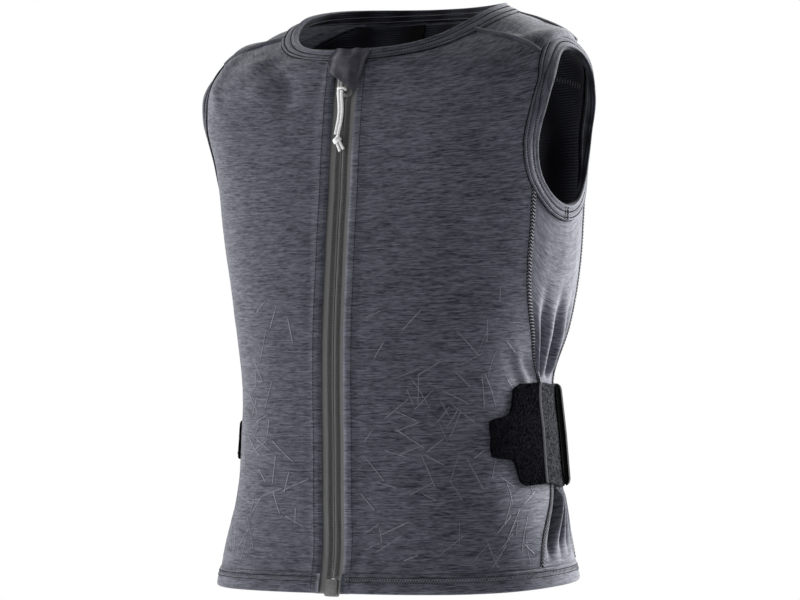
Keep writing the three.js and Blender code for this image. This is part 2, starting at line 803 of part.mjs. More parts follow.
// The hitch: the cord's loop round the bar of the slider's bridge, seen end on
const hitchHeight = sliderTopHigh + bridgeHeight + bridgeBar / 2;
const hitchReach = bridgeWidth / 2 + cordGap + cordDiameter / 2;
const hitchLift = bridgeBar / 2 + cordGap + cordDiameter / 2;
function pullHitch() {
  const points = range(12).slice(0, 12).map((share) => {
    const turn = share * 2 * Math.PI;
    const round = (value) => Math.sign(value) * Math.abs(value) ** 0.75;
    return new THREE.Vector3(hitchReach * round(Math.cos(turn)), hitchLift * round(Math.sin(turn)), 0);
  });
  const loop = closedTube(points, cordDiameter / 2, 6);
  // drawn in its own plane, then stood across the zip
  loop.rotateX(Math.PI / 2);
  return loop.translate(0, -hitchDrop, hitchHeight);
}

// A round closed tube through points in one plane
function closedTube(points, radius, sides) {
  const loops = points.map((p, i) => {
    const next = points[(i + 1) % points.length];
    const before = points[(i + points.length - 1) % points.length];
    const ahead = next.clone().sub(before).normalize();
    const out = new THREE.Vector3(ahead.y, -ahead.x, 0);
    return range(sides).slice(0, sides).map((share) => {
      const turn = share * 2 * Math.PI;
      const rise = new THREE.Vector3(0, 0, radius * Math.sin(turn));
      return p.clone().addScaledVector(out, radius * Math.cos(turn)).add(rise);
    });
  });
  return loft(loops, null);
}

// The pull cord: two strands from the hitch down to a knot, hanging in front of the zip.
// Sideways is in cord diameters, lift is a share of the hitch's height above the lowest strand.
const cordDrop = hitchDrop + cordDiameter / 2 + cordGap;
const cordSpacing = cordDiameter / 2 + cordGap / 2;
const cordLow = fabricThickness + cordGap + cordDiameter / 2;
const cordRoute = [
  { along: 0, sideways: 0, lift: 1 },
  { along: 0.1, sideways: 0, lift: 0.95 },
  { along: 0.3, sideways: 0, lift: 0.55 },
  { along: 0.5, sideways: -0.15, lift: 0.2 },
  { along: 0.7, sideways: -0.5, lift: 0.05 },
  { along: 0.85, sideways: -0.95, lift: 0 },
  { along: 1, sideways: -1.3, lift: 0 },
];
function cordPoint(strand, along) {
  const station = walkFront(sliderStation, -cordDrop - along * cordLength);
  const sideways = curveThrough(cordRoute, "along", "sideways", along) * cordDiameter;
  const lift = curveThrough(cordRoute, "along", "lift", along);
  const point = clothPoint(-90, station, mix(cordLow, hitchHeight + hitchLift, lift));
  return point.add(new THREE.Vector3(strand * cordSpacing + sideways, 0, 0));
}
function pullCord(strand) {
  const path = new THREE.CatmullRomCurve3(range(10).map((along) => cordPoint(strand, along)));
  const section = new THREE.Shape().absarc(0, 0, cordDiameter / 2, 0, 2 * Math.PI);
  const settings = { steps: 8, extrudePath: path, curveSegments: 4, bevelEnabled: false };
  return new THREE.ExtrudeGeometry(section, settings);
}

// The knot: a round body of cord with its two cut ends below
const knotTilt = 0.45;
function pullKnot() {
  const ball = new THREE.SphereGeometry(knotDiameter / 2, 10, 6).scale(1, 0.75, 0.95);
  const tails = [-1, 1].map((end) => {
    const tail = new THREE.CylinderGeometry(cordDiameter / 2, cordDiameter / 2, knotTail, 8);
    tail.rotateX(Math.PI / 2);
    tail.translate(end * cordSpacing, 0, -knotDiameter / 2 - knotTail / 2 + 1.6);
    return tail;
  });
  const knot = joined([ball, ...tails]);
  knot.rotateY(-knotTilt);
  const below = cordPoint(0, 1);
  return knot.translate(below.x, below.y, below.z - knotDiameter / 2 - cordGap);
}

function zipBox() {
  return roundedPlate(boxWidth / 2, boxWidth / 2, boxLength, 1.4, coilLow, tapeHigh + 1.6);
}

function zipGarage() {
  const base = fabricThickness + 2 * bindingGap + bindingThickness;
  const hood = Math.max(0, sliderTopHigh + bridgeHeight + bridgeBar + 2 * layerGap - base);
  const edge = (s, column) => {
    const share = curveThrough(garageOutline, "across", column, s);
    return walkFront(neckStation, -garageDrop * share);
  };
  const middle = garageLeft / (garageLeft + garageRight);
  // the flap stands over the slider's bridge, which its lower half covers
  const low = (s, t) => base + hood * smooth(2.2 - Math.abs(s - middle) / 0.13) * smooth(2.4 - 2.4 * t);
  const place = (s, t) => {
    const x = mix(-garageLeft, garageRight, s);
    const station = mix(edge(s, "foot"), edge(s, "head"), t);
    const angle = angleAtX(Math.abs(x), station);
    return [x < 0 ? -180 - angle : angle, station];
  };
  const across = garageOutline.map((row) => row.across);
  return sheet({ across, rows: range(5), place, low, high: (s, t) => low(s, t) + garageThickness });
}

const beltStation = (t) => stationAtDrop(mix(beltTopDrop + beltHeight, beltTopDrop, t));
const beltLow = fabricThickness + beltStandOff;
const tabEndAngle = (t) => mix(tabEnd.foot, tabEnd.head, t);

function beltTab(side) {
  const place = (s, t) => {
    const station = beltStation(t);
    const reach = tabBase + tabNose * curveThrough(tabOutline, "height", "reach", t);
    return [walkAround(tabEndAngle(t), station, -reach * (1 - s)), station];
  };
  const rows = tabOutline.map((row) => row.height);
  return sheet({ across: range(4), rows, place, low: beltLow, high: beltLow + tabThickness, side });
}

function beltElastic(side) {
  const place = (s, t) => {
    const station = beltStation(t);
    const start = walkAround(tabEndAngle(t), station, seamGap);
    return [mix(start, walkAround(start, station, elasticWidth), s), station];
  };
  const high = beltLow + elasticThickness;
  return sheet({ across: range(6), rows: range(3), place, low: beltLow, high, side });
}

// The back of the belt lies over the ends of the elastics
function beltBack() {
  const low = beltLow + elasticThickness + layerGap;
  const place = (s, t) => {
    const start = mix(beltBackStart.foot, beltBackStart.head, t);
    return [mix(start, 180 - start, s), beltStation(t)];
  };
  return sheet({ across: range(16), rows: range(3), place, low, high: low + beltBackThickness });
}

// The lining runs inside the back panel and bulges round the protector. All three share the back
// panel's columns and rows, so that they keep their gaps everywhere.
const liningGap = 0.8;
const backRows = panelRows(backSeamTop, yokeBackStation);
const liningRows = backRows.slice(1, -2);
const liningColumns = backColumns.slice(2, -2);
const liningTop = liningRows[liningRows.length - 1];
const rise = (share, over) => smooth(share / over) * smooth((1 - share) / over);
function liningHigh(s, station) {
  const across = (s - liningColumns[0]) / (1 - 2 * liningColumns[0]);
  const along = (station - liningRows[0]) / (liningTop - liningRows[0]);
  return -liningGap - (protectorThickness + layerGap) * rise(across, 0.18) * rise(along, 0.12);
}
function backPlace(s, station) {
  const edge = setBack(panelEdge(station, 1), station, 1);
  return [mix(edge, 180 - edge, s), station];
}

function backLining() {
  const low = (s, station) => liningHigh(s, station) - liningThickness;
  return sheet({ across: liningColumns, rows: liningRows, place: backPlace, low, high: liningHigh });
}

function backProtector() {
  const low = (s, station) => liningHigh(s, station) + layerGap;
  const across = liningColumns.slice(1, -1);
  return sheet({ across, rows: liningRows.slice(1, -2), place: backPlace, low, high: -liningGap });
}

// Tapes that hang from the back of the neck on the lining
function liningTape(side) {
  const place = (s, station) => {
    const width = liningTapeWidth * mix(1, 1.3, (liningTop - station) / liningTapeLength);
    return [angleAtX(liningTapeCentre + width * (s - 0.5), station, 1), station];
  };
  const high = (s, station) => liningHigh(0.5, station) - liningThickness - 2 * layerGap;
  const foot = liningTop - liningTapeLength;
  const rows = [foot, ...liningRows.filter((station) => station > foot + layerGap)];
  return sheet({ across: [0, 1], rows, place, low: (s, station) => high(s, station) - 1.2, high, side });
}

for (const [side, word] of [[1, "left"], [-1, "right"]]) {
  named(`front_panel_${word}`, frontPanel(side), heather);
  named(`side_panel_${word}`, sidePanel(side), heather);
  named(`shoulder_yoke_${word}`, shoulderYoke(side), heather);
  named(`armhole_binding_${word}`, armholeBinding(side), bindingCloth);
  named(`zip_tape_${word}`, zipTape(side), tapeCloth);
  named(`zip_coil_${word}`, zipCoil(side), darkPlastic);
  named(`belt_tab_${word}`, beltTab(side), hookAndLoop);
  named(`belt_elastic_${word}`, beltElastic(side), webbing);
  named(`lining_tape_${word}`, liningTape(side), meshLining);
  named(`pull_cord_${word}`, pullCord(side), paleCord);
}
named("back_panel", backPanel(), heather);
named("neck_binding", neckBinding(), bindingCloth);
named("hem_band", hemBand(), heather);
named("belt_back", beltBack(), blackFoam);
named("back_lining", backLining(), meshLining);
named("back_protector", backProtector(), blackFoam);
named("zip_garage", zipGarage(), heather);
named("pull_knot", pullKnot(), paleCord);

const sliderFrame = frontFrame(sliderStation, 0);
named("zip_slider", zipSlider(), darkPlastic).applyMatrix4(sliderFrame);
named("pull_hitch", pullHitch(), paleCord).applyMatrix4(sliderFrame);
named("zip_box", zipBox(), darkPlastic).applyMatrix4(frontFrame(boxLength / 2 - boxOverhang, 0));

export default vest;
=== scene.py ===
"""The looks of a child's protective vest, dressed on its frame: cloth, seams, zip, belt and padding."""

import math
import random
from functools import partial

import bpy
import numpy as np
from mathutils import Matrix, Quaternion, Vector


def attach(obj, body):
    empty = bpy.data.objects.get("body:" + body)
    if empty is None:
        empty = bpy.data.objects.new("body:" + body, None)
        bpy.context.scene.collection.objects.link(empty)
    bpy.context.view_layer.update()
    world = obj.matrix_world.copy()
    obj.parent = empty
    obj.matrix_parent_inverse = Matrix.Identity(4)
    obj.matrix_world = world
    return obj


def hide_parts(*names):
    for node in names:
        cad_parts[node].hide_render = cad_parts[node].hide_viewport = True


bl_info = {
    "name": "Protective vest",
    "version": (1, 0, 0),
    "blender": (4, 5, 0),
    "location": "View3D > Sidebar > Vest",
    "description": "Builds the cloth, seams, zip, belt and padding of a child's protective vest",
    "category": "Object",
}

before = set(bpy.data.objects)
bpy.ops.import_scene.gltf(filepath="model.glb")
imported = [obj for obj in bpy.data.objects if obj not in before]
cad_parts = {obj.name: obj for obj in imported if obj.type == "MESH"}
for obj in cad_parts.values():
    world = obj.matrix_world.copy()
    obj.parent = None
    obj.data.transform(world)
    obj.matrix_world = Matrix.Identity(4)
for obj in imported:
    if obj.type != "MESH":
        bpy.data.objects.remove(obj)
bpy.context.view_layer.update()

MM = 0.001
ALL_ROUND = (("left", 1), ("right", -1))

# The body of the vest, in millimetres and degrees. Angle 0 is the side, -90 the front and 90 the back.
# A station is the distance walked up the body from the bottom of the hem.
LENGTH = 440
HALF_WIDTH = 145
HALF_DEPTH = 90
CLOTH = 1.6
# About the length of one degree round the body
DEGREE = 2.3
FRONT_SCOOP = 0.9
GIRTH_COLUMNS = ("side", "front", "back", "width", "side_depth", "front_depth", "back_depth", "square")
GIRTHS = {
    "hem": (1, 1, 1, 0.99, -0.255, -1.26, 0.73, 0.05),
    "hip": (0.931, 0.931, 0.931, 0.95, -0.245, -1.19, 0.72, 0.05),
    "belt_foot": (0.839, 0.839, 0.839, 0.868, -0.18, -1.165, 0.8, 0.05),
    "belt": (0.745, 0.745, 0.745, 0.835, -0.16, -1.14, 0.83, 0.05),
    "belt_top": (0.652, 0.652, 0.652, 0.817, -0.155, -1.122, 0.85, 0.05),
    "waist": (0.559, 0.559, 0.559, 0.886, -0.01, -1.089, 0.99, 0.05),
    "rib": (0.452, 0.452, 0.452, 0.955, 0.03, -1.022, 1.04, 0.05),
    "chest": (0.355, 0.36, 0.355, 1, 0.01, -0.956, 0.985, 0.055),
    "underarm": (0.305, 0.325, 0.305, 1.01, 0.01, -0.925, 0.98, 0.06),
    "armpit": (0.239, 0.268, 0.239, 1.045, 0.01, -0.889, 0.97, 0.06),
    "arm": (0.159, 0.193, 0.159, 1.1, -0.035, -0.828, 0.92, 0.06),
    "tip": (0.084, 0.141, 0.084, 1.06, -0.01, -0.778, 0.88, 0.06),
    "shoulder": (0.05, 0.119, 0.048, 0.972, 0.03, -0.752, 0.87, 0.05),
    "slope": (0.027, 0.097, 0.016, 0.817, 0.06, -0.732, 0.89, 0.03),
    "collar": (0.012, 0.085, -0.002, 0.66, 0.09, -0.71, 0.91, 0.01),
    "neck": (-0.002, 0.073, -0.018, 0.57, 0.1, -0.695, 0.92, 0.01),
    "rim": (-0.014, 0.06, -0.032, 0.555, 0.1, -0.685, 0.91, 0.01),
}

# Where the side seams run: drop below the neck as a share of LENGTH, and the front and back seam's angle
SIDE_SEAMS = [
    (1, -12.5, 33), (0.976, -10.5, 32), (0.927, -6, 31), (0.849, 9, 30), (0.745, 10, 29), (0.652, 8, 29),
    (0.609, -2, 29), (0.554, -11, 28), (0.5, -16.5, 27), (0.449, -19, 26), (0.381, -20, 25), (0.2, -20, 24),
]
ARMHOLE_TOP, ARMHOLE_BOTTOM = 31, 156
ARMHOLE_MIDDLE, ARMHOLE_REACH = 3, 26
ARMHOLE_LIP = 6
SHOULDER_LEAN = 0.045
YOKE_FRONT = (-12.5, -23.5)
YOKE_BACK = (17, 40)
HEM_HEIGHT = 15
BINDING_WIDTH, BINDING_GAP, BINDING_THICKNESS = 11, 0.8, 1.0
ZIP_OPENING, TAPE_HALF, TAPE_SLIT, TAPE_PARTING = 10, 15, 0.35, 2.6
SLIDER_DROP, SLIDER_LENGTH = 58, 19
BOX_WIDTH = 11
LAYER_GAP, CORD_GAP, CORD_DIAMETER, CORD_LENGTH = 0.6, 0.35, 2.3, 32
HITCH_DROP, KNOT_DIAMETER, KNOT_TILT = 4, 7.4, 0.45
GARAGE_LEFT, GARAGE_RIGHT, GARAGE_DROP, GARAGE_THICKNESS = 16.5, 20, 34, 2.0
BELT_TOP_DROP, BELT_HEIGHT, BELT_LOW = 0.6545 * LENGTH, 77, CLOTH + 0.8
TAB_BASE, TAB_NOSE, TAB_THICKNESS = 34, 24, 2.4
TAB_END = (3, 5.5)
ELASTIC_WIDTH, ELASTIC_THICKNESS = 50, 1.6
BELT_BACK_START = (25, 27)
LINING_GAP, LINING_THICKNESS, PAD_THICKNESS = 0.8, 1.2, 13

# Gathers of a side panel: place across it, spread across it, depth as a share of GATHER_DEPTH
GATHER_DEPTH, GATHER_REACH, GATHER_RUN = 7, 78, 14
GATHERS_ABOVE = [
    (0.16, 0.07, 0.45), (0.28, 0.06, -0.85), (0.42, 0.08, 0.3), (0.55, 0.06, -0.75), (0.68, 0.08, 0.5),
    (0.83, 0.07, -0.7),
]
GATHERS_BELOW = [
    (0.13, 0.04, -1.6), (0.25, 0.06, 0.8), (0.37, 0.035, -0.9), (0.47, 0.05, 0.5), (0.57, 0.035, -0.6),
    (0.68, 0.06, 0.35), (0.8, 0.045, -0.6), (0.9, 0.05, 0.3),
]

# Soft creases of the fronts: side, then angle and station of each end, width and depth in millimetres
CREASES = [
    (-1, -20, 421, -48, 374, 6, 0.9),
    (-1, -26, 424, -54, 376, 6, -0.7),
    (-1, -48, 430, -64, 418, 5, -2.8),
    (-1, -64, 418, -75, 400, 5.5, -3.2),
    (-1, -75, 400, -73, 378, 6, -2.4),
    (-1, -40, 424, -58, 408, 8, 1.8),
    (-1, -58, 408, -66, 388, 8, 1.8),
    (1, -35, 402, -39, 368, 6, -0.8),
    (1, -28, 398, -31, 360, 8, 0.5),
    (1, -11, 173, 4, 155, 4, -1.5),
    (1, -22, 181, -6, 150, 5, -1.1),
    (1, -16, 180, -1, 152, 4, 1.0),
    (1, -33, 60, -18, 74, 6, 0.8),
    (-1, -11, 173, 4, 155, 4, -1.5),
    (-1, -22, 181, -6, 150, 5, -1.1),
]


def mix(a, b, t):
    return a + (b - a) * t


def smooth(t):
    c = np.clip(t, 0, 1)
    return c * c * (3 - 2 * c)


def bump(x, centre, spread):
    return np.exp(-(((x - centre) / spread) ** 2))


def unit(vectors):
    return vectors / np.linalg.norm(vectors, axis=-1, keepdims=True)


def through(knots, values, x):
    """A smooth curve through values at rising knots."""
    knots = np.asarray(knots, float)
    values = np.asarray(values, float)
    span = np.diff(knots)
    slope = np.diff(values) / span
    tangent = np.empty_like(values)
    tangent[0], tangent[-1] = slope[0], slope[-1]
    tangent[1:-1] = (slope[:-1] * span[1:] + slope[1:] * span[:-1]) / (span[:-1] + span[1:])
    at = np.clip(x, knots[0], knots[-1])
    k = np.clip(np.searchsorted(knots, at, side="right") - 1, 0, len(knots) - 2)
    t = (at - knots[k]) / span[k]
    h = (1 - t) ** 2
    return (
        (1 + 2 * t) * h * values[k]
        + t * h * span[k] * tangent[k]
        + t * t * (3 - 2 * t) * values[k + 1]
        + t * t * (t - 1) * span[k] * tangent[k + 1]
    )


def walked_stations():
    """The station of each girth."""
    rows = list(GIRTHS.values())
    stations = [0.0]
    for before, row in zip(rows, rows[1:]):
        side = math.hypot((row[0] - before[0]) * LENGTH, (row[3] - before[3]) * HALF_WIDTH)
        front = math.hypot((row[1] - before[1]) * LENGTH, (row[5] - before[5]) * HALF_DEPTH)
        stations.append(stations[-1] + (side + front) / 2)
    return stations


STATIONS = walked_stations()
NECK = STATIONS[list(GIRTHS).index("neck")]


def girth(station, column):
    k = GIRTH_COLUMNS.index(column)
    return through(STATIONS, [row[k] for row in GIRTHS.values()], station)


def lip_at(angle, station):
    """How far the cloth stands out where it nears the armhole's front edge."""
    rise = np.minimum(1, np.abs(station - ARM_MIDDLE) / ARM_HALF)
    edge = ARMHOLE_MIDDLE - ARMHOLE_REACH * np.sqrt(1 - rise**2)
    off = (angle - edge) / np.where(angle < edge, 4.5, 13.5)
    strength = ARMHOLE_LIP * bump(station, 386, 30) - 3 * bump(station, 318, 30)
    return strength * smooth((1 - rise) * 2.5) * np.exp(-(off**2))


def body_point(angle, station):
    """Points of the cloth's inner face."""
    lip = lip_at(angle, station)
    a = np.radians(angle)
    cos, sin = np.cos(a), np.sin(a)
    square = girth(station, "square")
    across = (cos - square * np.cos(3 * a)) / (1 - square)
    forward = (sin + square * np.sin(3 * a)) / (1 - square)
    side, front, back = (girth(station, c) for c in ("side", "front", "back"))
    side_depth = girth(station, "side_depth")
    ahead = sin < 0
    front_depth, back_depth = girth(station, "front_depth"), girth(station, "back_depth")
    depth = np.where(ahead, side_depth - front_depth, back_depth - side_depth)
    lean = (back - front) / 2 * sin + ((front + back) / 2 - side) * sin**2
    scoop = np.where(ahead, FRONT_SCOOP * (front - side) * sin**2 * (1 + sin), 0)
    return np.stack(
        [
            girth(station, "width") * HALF_WIDTH * across + 0.5 * lip,
            (side_depth + depth * forward) * HALF_DEPTH - 0.86 * lip,
            -(side + lean + scoop) * LENGTH,
        ],
        -1,
    )


def slopes(angle, station, probe=0.05):
    """Steps round and up the cloth for a degree and a millimetre, and its outward normal."""
    around = (body_point(angle + probe, station) - body_point(angle - probe, station)) / (2 * probe)
    up = (body_point(angle, station + probe) - body_point(angle, station - probe)) / (2 * probe)
    return around, up, unit(np.cross(around, up))


def cloth_point(angle, station, height, side=1):
    angle, station = np.broadcast_arrays(np.asarray(angle, float), np.asarray(station, float))
    height = np.broadcast_to(height, angle.shape)
    points = body_point(angle, station) + slopes(angle, station)[2] * height[..., None]
    points = points * np.array([side, 1, 1])
    lean = np.where(points[..., 0] > 0, SHOULDER_LEAN, 0.7 * SHOULDER_LEAN)
    points[..., 2] -= lean * points[..., 0] * smooth((points[..., 2] + 95) / 70)
    return points


def solve(too_low, low, high):
    """The place between low and high where too_low turns false."""
    low, high = np.asarray(low, float), np.asarray(high, float)
    for _ in range(34):
        middle = (low + high) / 2
        up = too_low(middle)
        low, high = np.where(up, middle, low), np.where(up, high, middle)
    return (low + high) / 2


def station_at_drop(drop, column="side"):
    drop = np.asarray(drop, float)
    top = np.full(drop.shape, STATIONS[-1])
    return solve(lambda s: girth(s, column) * LENGTH > drop, np.zeros(drop.shape), top)


def angle_at_x(x, station, end=-1):
    """The angle near the front or back where the cloth is x to the wearer's left of the middle."""
    x, station = np.broadcast_arrays(np.asarray(x, float), np.asarray(station, float))
    low, high = np.full(x.shape, 90.0 * end), np.full(x.shape, 20.0 * end)
    return solve(lambda a: body_point(a, station)[..., 0] < x, low, high)


def walk_around(angle, station, distance, steps=6):
    at = np.asarray(angle, float)
    for _ in range(steps):
        at = at + distance / steps / np.linalg.norm(slopes(at, station)[0], axis=-1)
    return at


def walk_front(station, distance, steps=8):
    at = np.asarray(station, float)
    for _ in range(steps):
        at = at + distance / steps / np.linalg.norm(slopes(np.full(at.shape, -90.0), at)[1], axis=-1)
    return at


ARM_LOW, ARM_HIGH = float(station_at_drop(ARMHOLE_BOTTOM)), float(station_at_drop(ARMHOLE_TOP))
ARM_MIDDLE, ARM_HALF = (ARM_LOW + ARM_HIGH) / 2, (ARM_HIGH - ARM_LOW) / 2
CUT_HALF = ARM_HALF + 0.5
CUT_REACH = ARMHOLE_REACH * CUT_HALF / ARM_HALF


def armhole_angle(station, end):
    share = np.minimum(1, np.abs(station - ARM_MIDDLE) / CUT_HALF)
    return ARMHOLE_MIDDLE + end * CUT_REACH * np.sqrt(1 - share**2)


def armhole_station(angle, end):
    share = np.minimum(1, np.abs(angle - ARMHOLE_MIDDLE) / CUT_REACH)
    return ARM_MIDDLE + end * CUT_HALF * np.sqrt(1 - share**2)


def seam_angle(station, end):
    drops, front, back = np.transpose(SIDE_SEAMS)
    return through(-drops, front if end < 0 else back, -girth(station, "side"))


def seam_top(end):
    return float(solve(lambda s: (seam_angle(s, end) - armhole_angle(s, end)) * end > 0, ARM_LOW, ARM_MIDDLE))


SEAM_TOP = {-1: seam_top(-1), 1: seam_top(1)}
YOKE = {-1: YOKE_FRONT, 1: YOKE_BACK}
YOKE_STATION = {end: float(armhole_station(YOKE[end][0], 1)) for end in (-1, 1)}


def yoke_seam(end, share):
    return mix(YOKE[end][0], YOKE[end][1], np.clip(share, 0, 1) ** 0.6)


def panel_edge(station, end):
    """The outer edge of a front (-1) or of the back (1) at a station."""
    above = (station - YOKE_STATION[end]) / (NECK - YOKE_STATION[end])
    beside_arm = np.where(station <= YOKE_STATION[end], armhole_angle(station, end), yoke_seam(end, above))
    return np.where(station <= SEAM_TOP[end], seam_angle(station, end), beside_arm)


def along_panel(t, end, foot=HEM_HEIGHT, low_share=0.62, arm_share=0.9):
    """Stations of a front or the back, with rows at the foot and head of its armhole."""
    return np.interp(t, [0, low_share, arm_share, 1], [foot, SEAM_TOP[end], YOKE_STATION[end], NECK])


def wave(angle, station):
    """The slight unevenness of worn cloth."""
    x, y = angle * DEGREE, station
    slow = np.sin(x / 23 + y / 41) * np.sin(y / 33 - x / 57)
    quick = np.sin(x / 9.5 - y / 17 + 1.3) * np.sin(y / 12.5 + x / 26)
    return 0.35 * slow + 0.12 * quick


def creased(angle, station, side):
    """How far the soft creases lift or sink the cloth."""
    height = wave(angle * side + 12 * side, station)
    x, y = angle * DEGREE, station
    for which, angle_a, station_a, angle_b, station_b, width, depth in CREASES:
        if which != side:
            continue
        ax, bx = angle_a * DEGREE, angle_b * DEGREE
        dx, dy = bx - ax, station_b - station_a
        long = math.hypot(dx, dy)
        share = ((x - ax) * dx + (y - station_a) * dy) / long**2
        off = ((x - ax) * dy - (y - station_a) * dx) / long
        ends = smooth((share + 0.2) / 0.5) * smooth((1.2 - share) / 0.5)
        height = height + depth * np.exp(-((off / width) ** 2)) * ends
    return height


def shoulder_puff(angle, station):
    """The padded look of the shoulder next to the armhole, and the dip next to the neck."""
    over = bump(angle, 4, 24)
    return over * (2.6 * bump(station, 410, 6.5) - 2.6 * bump(station, 425, 5.5))


def settle(distance, reach=9):
    """0 at an edge and 1 a little way in, so that creases leave the seams where they are."""
    return smooth(distance / reach)


def off_ends(station):
    """0 at the hem and at the neck, and 1 a little way in from both."""
    return settle(NECK - station, 16) * settle(station - HEM_HEIGHT, 14)


def front_height(angle, station, side):
    inner = angle_at_x_by_row(ZIP_OPENING, station)
    from_zip = (angle - inner) * 1.7
    from_seam = np.abs(panel_edge(station, -1) - angle) * DEGREE
    folds = creased(angle, station, side) + shoulder_puff(angle, station)
    folds = folds * settle(from_zip, 14) * settle(from_seam) * off_ends(station)
    facing = 0.55 * smooth(from_zip / 1.2) * smooth((7.5 - from_zip) / 3) - 0.45 * bump(from_zip, 7.4, 0.9)
    return CLOTH + folds + facing


def angle_at_x_by_row(x, station):
    rows, back = np.unique(np.round(station, 5), return_inverse=True)
    return angle_at_x(np.full(rows.shape, float(x)), rows)[back].reshape(np.shape(station))


def gather(across, station):
    drop = girth(station, "side") * LENGTH
    above = drop < BELT_TOP_DROP
    away = np.where(above, BELT_TOP_DROP - drop, drop - BELT_TOP_DROP - BELT_HEIGHT)
    below = min(GATHER_REACH, LENGTH - HEM_HEIGHT - BELT_TOP_DROP - BELT_HEIGHT)
    room = np.where(above, GATHER_REACH, below)
    strength = smooth(away / GATHER_RUN) * smooth((1 - away / room) * 1.4)
    height = np.zeros(np.shape(across))
    for folds, where in ((GATHERS_ABOVE, above), (GATHERS_BELOW, ~above)):
        for centre, spread, depth in folds:
            height = height + where * depth * GATHER_DEPTH * bump(across, centre, spread)
    height = height * strength * smooth(across / 0.1) * smooth((1 - across) / 0.1)
    return np.where(away <= 3, 0, height)


# Shaping pieces
def select_only(piece):
    bpy.ops.object.select_all(action="DESELECT")
    piece.select_set(True)
    bpy.context.view_layer.objects.active = piece


def apply(piece, kind, **settings):
    """Adds a modifier to a piece and applies it."""
    select_only(piece)
    modifier = piece.modifiers.new(kind.title(), kind)
    for name, value in settings.items():
        setattr(modifier, name, value)
    bpy.ops.object.modifier_apply(modifier=modifier.name)


def in_edit_mode(piece, *steps):
    """Runs edit mode operators on all of a piece."""
    select_only(piece)
    bpy.ops.object.mode_set(mode="EDIT")
    bpy.ops.mesh.select_all(action="SELECT")
    for step in steps:
        step()
    bpy.ops.object.mode_set(mode="OBJECT")


def merge_doubles(distance=0.000002):
    bpy.ops.mesh.remove_doubles(threshold=distance)


def close_ends():
    bpy.ops.mesh.select_all(action="DESELECT")
    bpy.ops.mesh.select_non_manifold()
    bpy.ops.mesh.fill_holes(sides=0)


def face_outwards():
    bpy.ops.mesh.normals_make_consistent(inside=False)


def corners_of(mesh):
    """The vertex of each corner of a mesh's faces."""
    corners = np.empty(len(mesh.loops), int)
    mesh.loops.foreach_get("vertex_index", corners)
    return corners


def shaped(name, columns, rows, place, middle=0.0, side=1, loop=False, ring=False, swap=False, inside=None):
    """A grid whose points place(s, t) puts on the vest, in millimetres. Its UV map measures the cloth in
    metres, across from the column at middle, or the other way when it is swapped. A loop joins its first
    and last column, a ring its rows. Faces past inside, a share of the columns, get the second material."""
    bpy.ops.object.select_all(action="DESELECT")
    bpy.ops.mesh.primitive_grid_add(x_subdivisions=columns, y_subdivisions=rows, size=1)
    piece = bpy.context.object
    piece.name = piece.data.name = name
    mesh = piece.data
    flat = np.empty(len(mesh.vertices) * 3)
    mesh.vertices.foreach_get("co", flat)
    s, t = flat[0::3] + 0.5, flat[1::3] + 0.5
    points = place(s, t)
    order = np.lexsort((np.round(s, 6), np.round(t, 6)))
    table = points[order].reshape(rows + 1, columns + 1, 3)
    across = np.cumsum(np.linalg.norm(np.diff(table, axis=1, prepend=table[:, :1]), axis=2), axis=1)
    across -= across[:, [round(middle * columns)]]
    spine = table[:, round(middle * columns)]
    upward = np.cumsum(np.linalg.norm(np.diff(spine, axis=0, prepend=spine[:1]), axis=1))
    pattern = np.empty((len(points), 2))
    pattern[order, 0] = across.ravel() * MM
    pattern[order, 1] = np.repeat(upward, columns + 1) * MM
    if swap:
        pattern = pattern[:, ::-1]
    mesh.vertices.foreach_set("co", (points * MM).ravel())
    mesh.uv_layers.active.data.foreach_set("uv", pattern[corners_of(mesh)].ravel())
    if inside is not None:
        for face in mesh.polygons:
            face.material_index = int(np.mean(s[list(face.vertices)]) > inside)
    if side < 0:
        mesh.flip_normals()
    if loop or ring:
        steps = [merge_doubles]
        if not (loop and ring):
            steps.append(close_ends)
        in_edit_mode(piece, *steps, face_outwards)
    mesh.update()
    return piece


def puckered(piece, values):
    """Keeps how much each point of a piece's mesh puckers, which its material reads."""
    layer = piece.data.attributes.new("seam", "FLOAT", "POINT")
    layer.data.foreach_set("value", np.full(len(piece.data.vertices), values, np.float32))


def finished(piece, finishes, nodes=()):
    """Gives a piece its finishes, sets it on the frame and hides what it stands for."""
    for finish in finishes:
        piece.data.materials.append(FINISH[finish])
    select_only(piece)
    bpy.ops.object.shade_smooth()
    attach(piece, "root")
    if nodes:
        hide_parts(*nodes)
    return piece


def thickened(piece, thickness, offset=-1, **settings):
    """Gives a sheet its thickness in millimetres, inwards unless offset says otherwise."""
    apply(piece, "SOLIDIFY", thickness=thickness * MM, offset=offset, **settings)


def lined(piece, thickness):
    """Thickens a sheet, with the second finish inside."""
    thickened(piece, thickness, material_offset=1, use_quality_normals=True)


def rounded_edges(piece, width, angle=50, segments=3):
    limit = math.radians(angle)
    apply(piece, "BEVEL", width=width * MM, segments=segments, limit_method="ANGLE", angle_limit=limit)


def new_piece(name, mesh):
    piece = bpy.data.objects.new(name, mesh)
    bpy.context.scene.collection.objects.link(piece)
    return piece


def piece_of(name, points, faces):
    """A piece from points in millimetres and faces."""
    mesh = bpy.data.meshes.new(name)
    mesh.from_pydata((points * MM).tolist(), [], faces)
    mesh.update()
    return new_piece(name, mesh)


def frame_copy(name, source, step):
    """A copy of a frame node, welded, after one more edit mode step."""
    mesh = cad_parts[source].data.copy()
    mesh.materials.clear()
    mesh.name = name
    piece = new_piece(name, mesh)
    in_edit_mode(piece, merge_doubles, step)
    return piece


